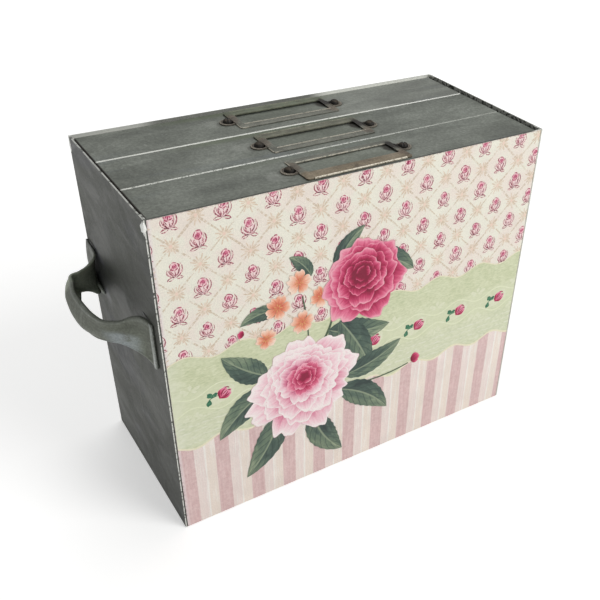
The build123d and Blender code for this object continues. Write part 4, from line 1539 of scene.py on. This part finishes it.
holderLooks = {
    # All in mm, round the middle between the two screws, with the lip towards +y.
    "sheet": 0.7,
    "frame": (70.0, 27.5, 1.6),      # length, width, corner
    "window": (61.0, 15.1, 1.5),
    "lipInner": 7.5,
    "lipOuter": 14.9,
    "railInner": 7.6,
    "railOuter": 12.6,
    "heights": [(-12.6, 0.75), (-7.6, 1.1), (7.5, 1.7), (14.9, 1.0)],        # y, and the height there
    "crown": 0.35,                   # how far the frame bulges between its edges
    "bead": 0.5,                     # radius of the rolled edges of the lip and the rail
    "wideBead": 1.3,                 # a shining lip has a bead that many times as thick
    "beadShift": (0.2, 0.3),         # how far a bead is in from the lip, and below the frame
    "endWall": (0.7, 10.0, 1.1, 0.6),            # thickness, length, height, and how high its middle is
    "endWallShift": 0.35,
    "leg": (9.6, 0.64, 0.38),        # width, thickness, and how high its middle is
    "screwRadius": 3.0,
    # section of the raised ring round a screw: radius and height
    "ear": [
        (1.7, 0.05),
        (4.9, 0.05),
        (5.05, 0.35),
        (4.9, 0.8),
        (4.5, 1.0),
        (4.05, 0.85),
        (3.8, 0.7),
        (1.7, 0.7),
    ],
    "turned": {"front": -1, "middle": 1, "back": 1},
    # How pale the metal is, as bare metal and as painted highlight: the beads of the lip and the rail, the
    # edge of the window, a worn corner, the rest of the frame, and the rings.
    "shine": {"front": (1.0, 0.5), "middle": (0.15, 0.4), "back": (0.15, 0.4)},
    "windowShine": 0.10,
    "cornerShine": 0.7,
    "cornerLength": 3.0,
    "plainShine": 0.05,
    "earShine": 0.35,
    "earRim": (4.2, 0.5),            # the rings shine further out and higher up than this
    "plain": [(82, 84, 76), (106, 108, 99), (126, 128, 118)],
    "rust": [(56, 44, 36), (92, 76, 64), (122, 106, 92)],
    # the dark of the painted shadow on the frame
    "dirtAndShade": (34, 30, 26),
    "pale": (216, 208, 190),
    "front": [(82, 70, 54), (118, 106, 86), (140, 128, 110)],
    "middle": [(72, 72, 58), (106, 108, 92), (126, 128, 112)],
    "back": [(66, 70, 54), (98, 106, 86), (118, 126, 106)],
    "lipColourFrom": (5.5, 9.5),     # the lip has its own colour from here
    # stains, from the middle: across and along, size, unevenness
    "earRust": ((-38.5, 0.0, (8.0, 7.0), 0.8), (38.5, 0.0, (8.0, 7.0), 0.8)),
    "frameRust": ((-34.0, 4.0, (4.5, 5.5), 0.9), (33.0, -8.0, (6.0, 5.0), 0.9)),
    "rustShare": 0.6,
    # a painted shadow on the right end of the frame, beside the window
    "shadowStain": (32.5, 4.0, (5.0, 7.0), 0.7),
    "shadowShare": 0.92,
}


def holderIron(name, looks):
    recipe = Recipe(f"{name}HolderIron")
    place = recipe.place()
    worn = recipe.add("Attribute", {}, attribute_name="bare").outputs["Fac"]
    cloud = recipe.noise(place, 95.0, 5.0, 0.65, 0.6)
    grain = recipe.noise(place, 1100.0, 3.0, 0.75)
    streak = recipe.noise(recipe.stretch(place, (0.2, 1.0, 1.0)), 420.0, 3.0, 0.6)
    tone = recipe.plus(recipe.times(cloud, 0.6), recipe.times(streak, 0.4))

    def ramp(colours):
        return recipe.ramp(tone, evenStops(colours, 0.34, 0.66))

    def stain(across, along, size, unevenness):
        return spot(recipe, place, (middle.x + across, middle.y + along), size, unevenness)

    low, high = (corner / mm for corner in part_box(f"{name}_holder_screws"))
    middle = (low + high) / 2
    turned = looks["turned"][name]
    x, y, z = recipe.split(place)
    along = recipe.times(recipe.minus(y, middle.y * mm), turned)
    onLip = recipe.plus(along, recipe.times(cloud, 2 * mm))
    onLip = recipe.step(onLip, *inMetres(looks["lipColourFrom"]))
    colour = recipe.mix(onLip, ramp(looks["plain"]), ramp(looks[name]))
    rust = recipe.either(*(stain(*each) for each in looks["earRust"]))
    for each in looks["frameRust"]:
        rust = recipe.either(rust, stain(*each))
    colour = recipe.mix(recipe.times(rust, looks["rustShare"]), colour, ramp(looks["rust"]))
    # pale where the metal is bare, and as painted highlight on the front lip's bead and the rings' outer
    # sides
    patches = recipe.step(recipe.noise(place, 600.0, 3.0, 0.6), 0.28, 0.50)
    worn = recipe.times(worn, patches)
    colour = recipe.mix(worn, colour, rgb(*looks["pale"]))
    # painted shadow on the end of the frame
    dirtAndShade = stain(*looks["shadowStain"])
    colour = recipe.mix(recipe.times(dirtAndShade, looks["shadowShare"]), colour, rgb(*looks["dirtAndShade"]))
    colour = recipe.shade(colour, recipe.step(grain, 0.35, 0.70, 0.80, 1.16))
    rough = recipe.minus(recipe.step(streak, 0.3, 0.7, 0.46, 0.64), recipe.times(worn, 0.12))
    height = recipe.plus(recipe.times(grain, 0.4), cloud)
    return recipe.finish(colour, rough, recipe.bump(height, 0.35, 0.0006), Metallic=0.35)


def holderHeight(looks, y):
    heights = looks["heights"]
    for (start, low), (end, high) in zip(heights, heights[1:]):
        if y <= end:
            return low + (high - low) * (y - start) / (end - start)
    return heights[-1][1]


def addBlock(bm, middle, size):
    made = bmesh.ops.create_cube(bm, size=1.0)["verts"]
    for vert in made:
        vert.co = Vector([place + share * length for place, share, length in zip(middle, vert.co, size)])


def makeHolder(name, looks, material):
    # made as its sizes are given, then turned and placed
    bm = bmesh.new()
    bare = bm.verts.layers.float.new("bare")
    length, windowLength = looks["frame"][0], looks["window"][0]
    frameMiddle = (looks["lipOuter"] - looks["railOuter"]) / 2
    windowMiddle = (looks["lipInner"] - looks["railInner"]) / 2
    lipShine, railShine = looks["shine"][name]
    turned = looks["turned"][name]
    loops = []
    for size, middle in ((looks["frame"], frameMiddle), (looks["window"], windowMiddle)):
        before = set(bm.faces)
        made = bmesh.ops.create_grid(bm, x_segments=1, y_segments=1, size=0.5)["verts"]
        for vert in made:
            vert.co = Vector((vert.co.x * size[0], vert.co.y * size[1] + middle, 0.0))
        bmesh.ops.bevel(bm, geom=made, offset=size[2], offset_type="OFFSET", segments=4, profile=0.5,
                        affect="VERTICES", material=-1)
        face = [face for face in bm.faces if face not in before][0]
        loops += list(face.edges)
        bmesh.ops.delete(bm, geom=[face], context="FACES_ONLY")
    ring = bmesh.ops.bridge_loops(bm, edges=loops)
    bmesh.ops.subdivide_edges(bm, edges=ring["edges"], cuts=5, use_grid_fill=True)
    longWays = [edge for edge in bm.edges if edge.calc_length() > 40]
    bmesh.ops.subdivide_edges(bm, edges=longWays, cuts=11, use_grid_fill=True)

    def fromRectangle(point, size, middle):
        dx = abs(point.x) - size[0] / 2
        dy = abs(point.y - middle) - size[1] / 2
        return max(dx, dy)

    for vert in bm.verts:
        inner = max(0.0, fromRectangle(vert.co, looks["window"], windowMiddle))
        outer = max(0.0, -fromRectangle(vert.co, looks["frame"], frameMiddle))
        share = inner / (inner + outer) if inner + outer else 0.0
        vert.co.z = holderHeight(looks, vert.co.y) + looks["crown"] * (math.sin(math.pi * share) - 0.6)
        atCorner = vert.co.y < 0 and vert.co.x * turned < -length / 2 + looks["cornerLength"]
        vert[bare] = looks["plainShine"]
        if inner < 0.3:
            vert[bare] = looks["windowShine"]
        elif outer < 0.3 and atCorner:
            vert[bare] = looks["cornerShine"]
    bmesh.ops.recalc_face_normals(bm, faces=bm.faces)
    if sum(face.normal.z for face in bm.faces) < 0:
        bmesh.ops.reverse_faces(bm, faces=bm.faces)
    bmesh.ops.solidify(bm, geom=bm.faces[:], thickness=looks["sheet"])

    fromLip, below = looks["beadShift"]
    # the pale bead along the front lip is a painted highlight
    for y, shine in ((looks["lipOuter"] - fromLip, lipShine), (-looks["railInner"], railShine)):
        radius = looks["bead"] * (looks["wideBead"] if y > 0 and shine > 0.5 else 1.0)
        made = bmesh.ops.create_cone(bm, cap_ends=True, segments=12, radius1=radius, radius2=radius,
                                     depth=windowLength)["verts"]
        bmesh.ops.rotate(bm, verts=made, cent=(0, 0, 0), matrix=Matrix.Rotation(math.pi / 2, 3, "Y"))
        bmesh.ops.translate(bm, verts=made, vec=(0, y, holderHeight(looks, y) - below))
        for vert in made:
            vert[bare] = shine

    low, high = (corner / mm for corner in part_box(f"{name}_holder_screws"))
    screwX = (high.x - low.x) / 2 - looks["screwRadius"]
    wallThick, wallLength, wallHeight, wallUp = looks["endWall"]
    legWidth, legThick, legUp = looks["leg"]
    rimRadius, rimHeight = looks["earRim"]
    for side in (-1, 1):
        wallX = side * (length / 2 - looks["endWallShift"])
        legX = side * (length / 2 + screwX) / 2
        addBlock(bm, (wallX, 0.0, wallUp), (wallThick, wallLength, wallHeight))
        addBlock(bm, (legX, 0.0, legUp), (screwX - length / 2, legWidth, legThick))
        ring = [bm.verts.new((r, 0.0, h)) for r, h in looks["ear"]]
        edges = [bm.edges.new(pair) for pair in zip(ring, ring[1:] + ring[:1])]
        bmesh.ops.spin(bm, geom=ring + edges, axis=(0, 0, 1), cent=(0, 0, 0), dvec=(0, 0, 0),
                       angle=2 * math.pi, steps=40, use_merge=True)
        # the ring is spun in the middle of the window, where nothing else is
        reach = max(radius for radius, height in looks["ear"])
        for vert in bm.verts:
            radius = math.hypot(vert.co.x, vert.co.y)
            if radius < reach + 0.1:
                # each ring is paler only on its outer side: a painted highlight
                outward = vert.co.x * side / radius
                onRim = radius > rimRadius and vert.co.z > rimHeight
                vert[bare] = looks["earShine"] * max(0.0, outward) if onRim else 0.0
                vert.co.x += side * screwX
    bmesh.ops.recalc_face_normals(bm, faces=bm.faces)

    middle = (low + high) / 2
    middle.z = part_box(f"{name}_drawer_face")[1].z / mm
    for vert in bm.verts:
        vert.co = (middle + Vector((turned * vert.co.x, turned * vert.co.y, vert.co.z))) * mm
    return finishPiece(bm, f"{name}_label_frame", material, f"{name}_drawer", smooth=False,
                       replaced=[f"{name}_label_holder"])


screwLooks = {
    "radius": 3.0,
    "head": 2.0,                # how far the seat of the head is below the top of the CAD screw
    "edge": 0.15,               # how far the edge of the head stands above the seat
    "dome": 2.3,
    "slot": (0.42, 0.8),        # half its width and its depth
    "shank": 1.2,
    "turn": {"front": (12, -34), "middle": (48, 20), "back": (-25, 70)},       # degrees, left and right
    "colours": [(14, 11, 8), (32, 27, 21), (66, 58, 47)],
    "crown": (76, 67, 55),
    # painted shade under the rim of the head and in its slot
    "ring": (24, 19, 15),
}


def screwIron(looks):
    recipe = Recipe("screwIron")
    place = recipe.place()
    tall = recipe.add("Attribute", {}, attribute_name="tall").outputs["Fac"]
    cloud = recipe.noise(place, 260.0, 4.0, 0.65, 0.4)
    grain = recipe.noise(place, 1400.0, 3.0, 0.75)
    tone = recipe.plus(recipe.times(cloud, 0.8), recipe.times(tall, 0.2))
    stops = [(position, rgb(*shade)) for position, shade in zip((0.36, 0.52, 0.72), looks["colours"])]
    colour = recipe.ramp(tone, stops)
    # a dark ring under the rim of the head and in the slot, as painted shade, and a paler one round its crown
    crown = recipe.times(recipe.step(tall, 0.55, 0.70), recipe.step(tall, 0.86, 0.96, 1.0, 0.0))
    crown = recipe.times(crown, recipe.step(cloud, 0.40, 0.60, 0.2, 0.8))
    colour = recipe.mix(crown, colour, rgb(*looks["crown"]))
    colour = recipe.mix(recipe.step(tall, 0.05, 0.3, 0.8, 0.0), colour, rgb(*looks["ring"]))
    height = recipe.plus(recipe.times(grain, 0.4), cloud)
    rough = recipe.step(cloud, 0.3, 0.7, 0.5, 0.72)
    return recipe.finish(colour, rough, recipe.bump(height, 0.5, 0.0006), Metallic=0.3)


def makeScrews(name, looks, material):
    low, high = (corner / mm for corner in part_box(f"{name}_holder_screws"))
    seat = high.z - looks["head"]
    radius = looks["radius"]
    halfSlot, deep = looks["slot"]
    bm = bmesh.new()
    tall = bm.verts.layers.float.new("tall")
    for x, turn in zip((low.x + radius, high.x - radius), looks["turn"][name]):
        middle = Vector((x, (low.y + high.y) / 2, seat))
        spin = Matrix.Rotation(math.radians(turn), 3, "Z")
        made = bmesh.ops.create_grid(bm, x_segments=14, y_segments=14, size=1.0)["verts"]
        for vert in made:
            across, along = round01(vert.co.x, vert.co.y)
            away = min(1.0, math.hypot(across, along))
            rise = (1 - away ** 2.6) ** 0.6
            # 0 in the slot and 1 beside it
            cut = smoothStep(halfSlot * 0.5, halfSlot * 1.1, abs(across) * radius)
            vert[tall] = rise
            vert[tall] *= cut
            up = looks["edge"] + looks["dome"] * rise
            up -= (1 - cut) * min(up - 0.1, deep)
            vert.co = middle + spin @ Vector((across * radius, along * radius, up))
        edges = [edge for edge in bm.edges if edge.is_boundary and (edge.verts[0].co - middle).length < 4]
        # the side of the head down to its seat, closed below
        skirt = bmesh.ops.extrude_edge_only(bm, edges=edges)["geom"]
        for vert in skirt:
            if isinstance(vert, bmesh.types.BMVert):
                vert.co.z = seat - 0.02
        bmesh.ops.holes_fill(bm, edges=[edge for edge in bm.edges if edge.is_boundary])
        depth = seat - low.z
        shank = bmesh.ops.create_cone(bm, cap_ends=True, segments=20, radius1=looks["shank"],
                                      radius2=looks["shank"], depth=depth)["verts"]
        bmesh.ops.translate(bm, verts=shank, vec=(middle.x, middle.y, low.z + depth / 2))
    for vert in bm.verts:
        vert.co *= mm
    bmesh.ops.recalc_face_normals(bm, faces=bm.faces)
    return finishPiece(bm, f"{name}_slotted_screws", material, f"{name}_drawer",
                       replaced=[f"{name}_holder_screws"])


rustyScrew = screwIron(screwLooks)
for name in drawers:
    makeHolder(name, holderLooks, holderIron(name, holderLooks))
    makeScrews(name, screwLooks, rustyScrew)
    dress(f"{name}_holder_nuts", rustyScrew)
print("label holders made")
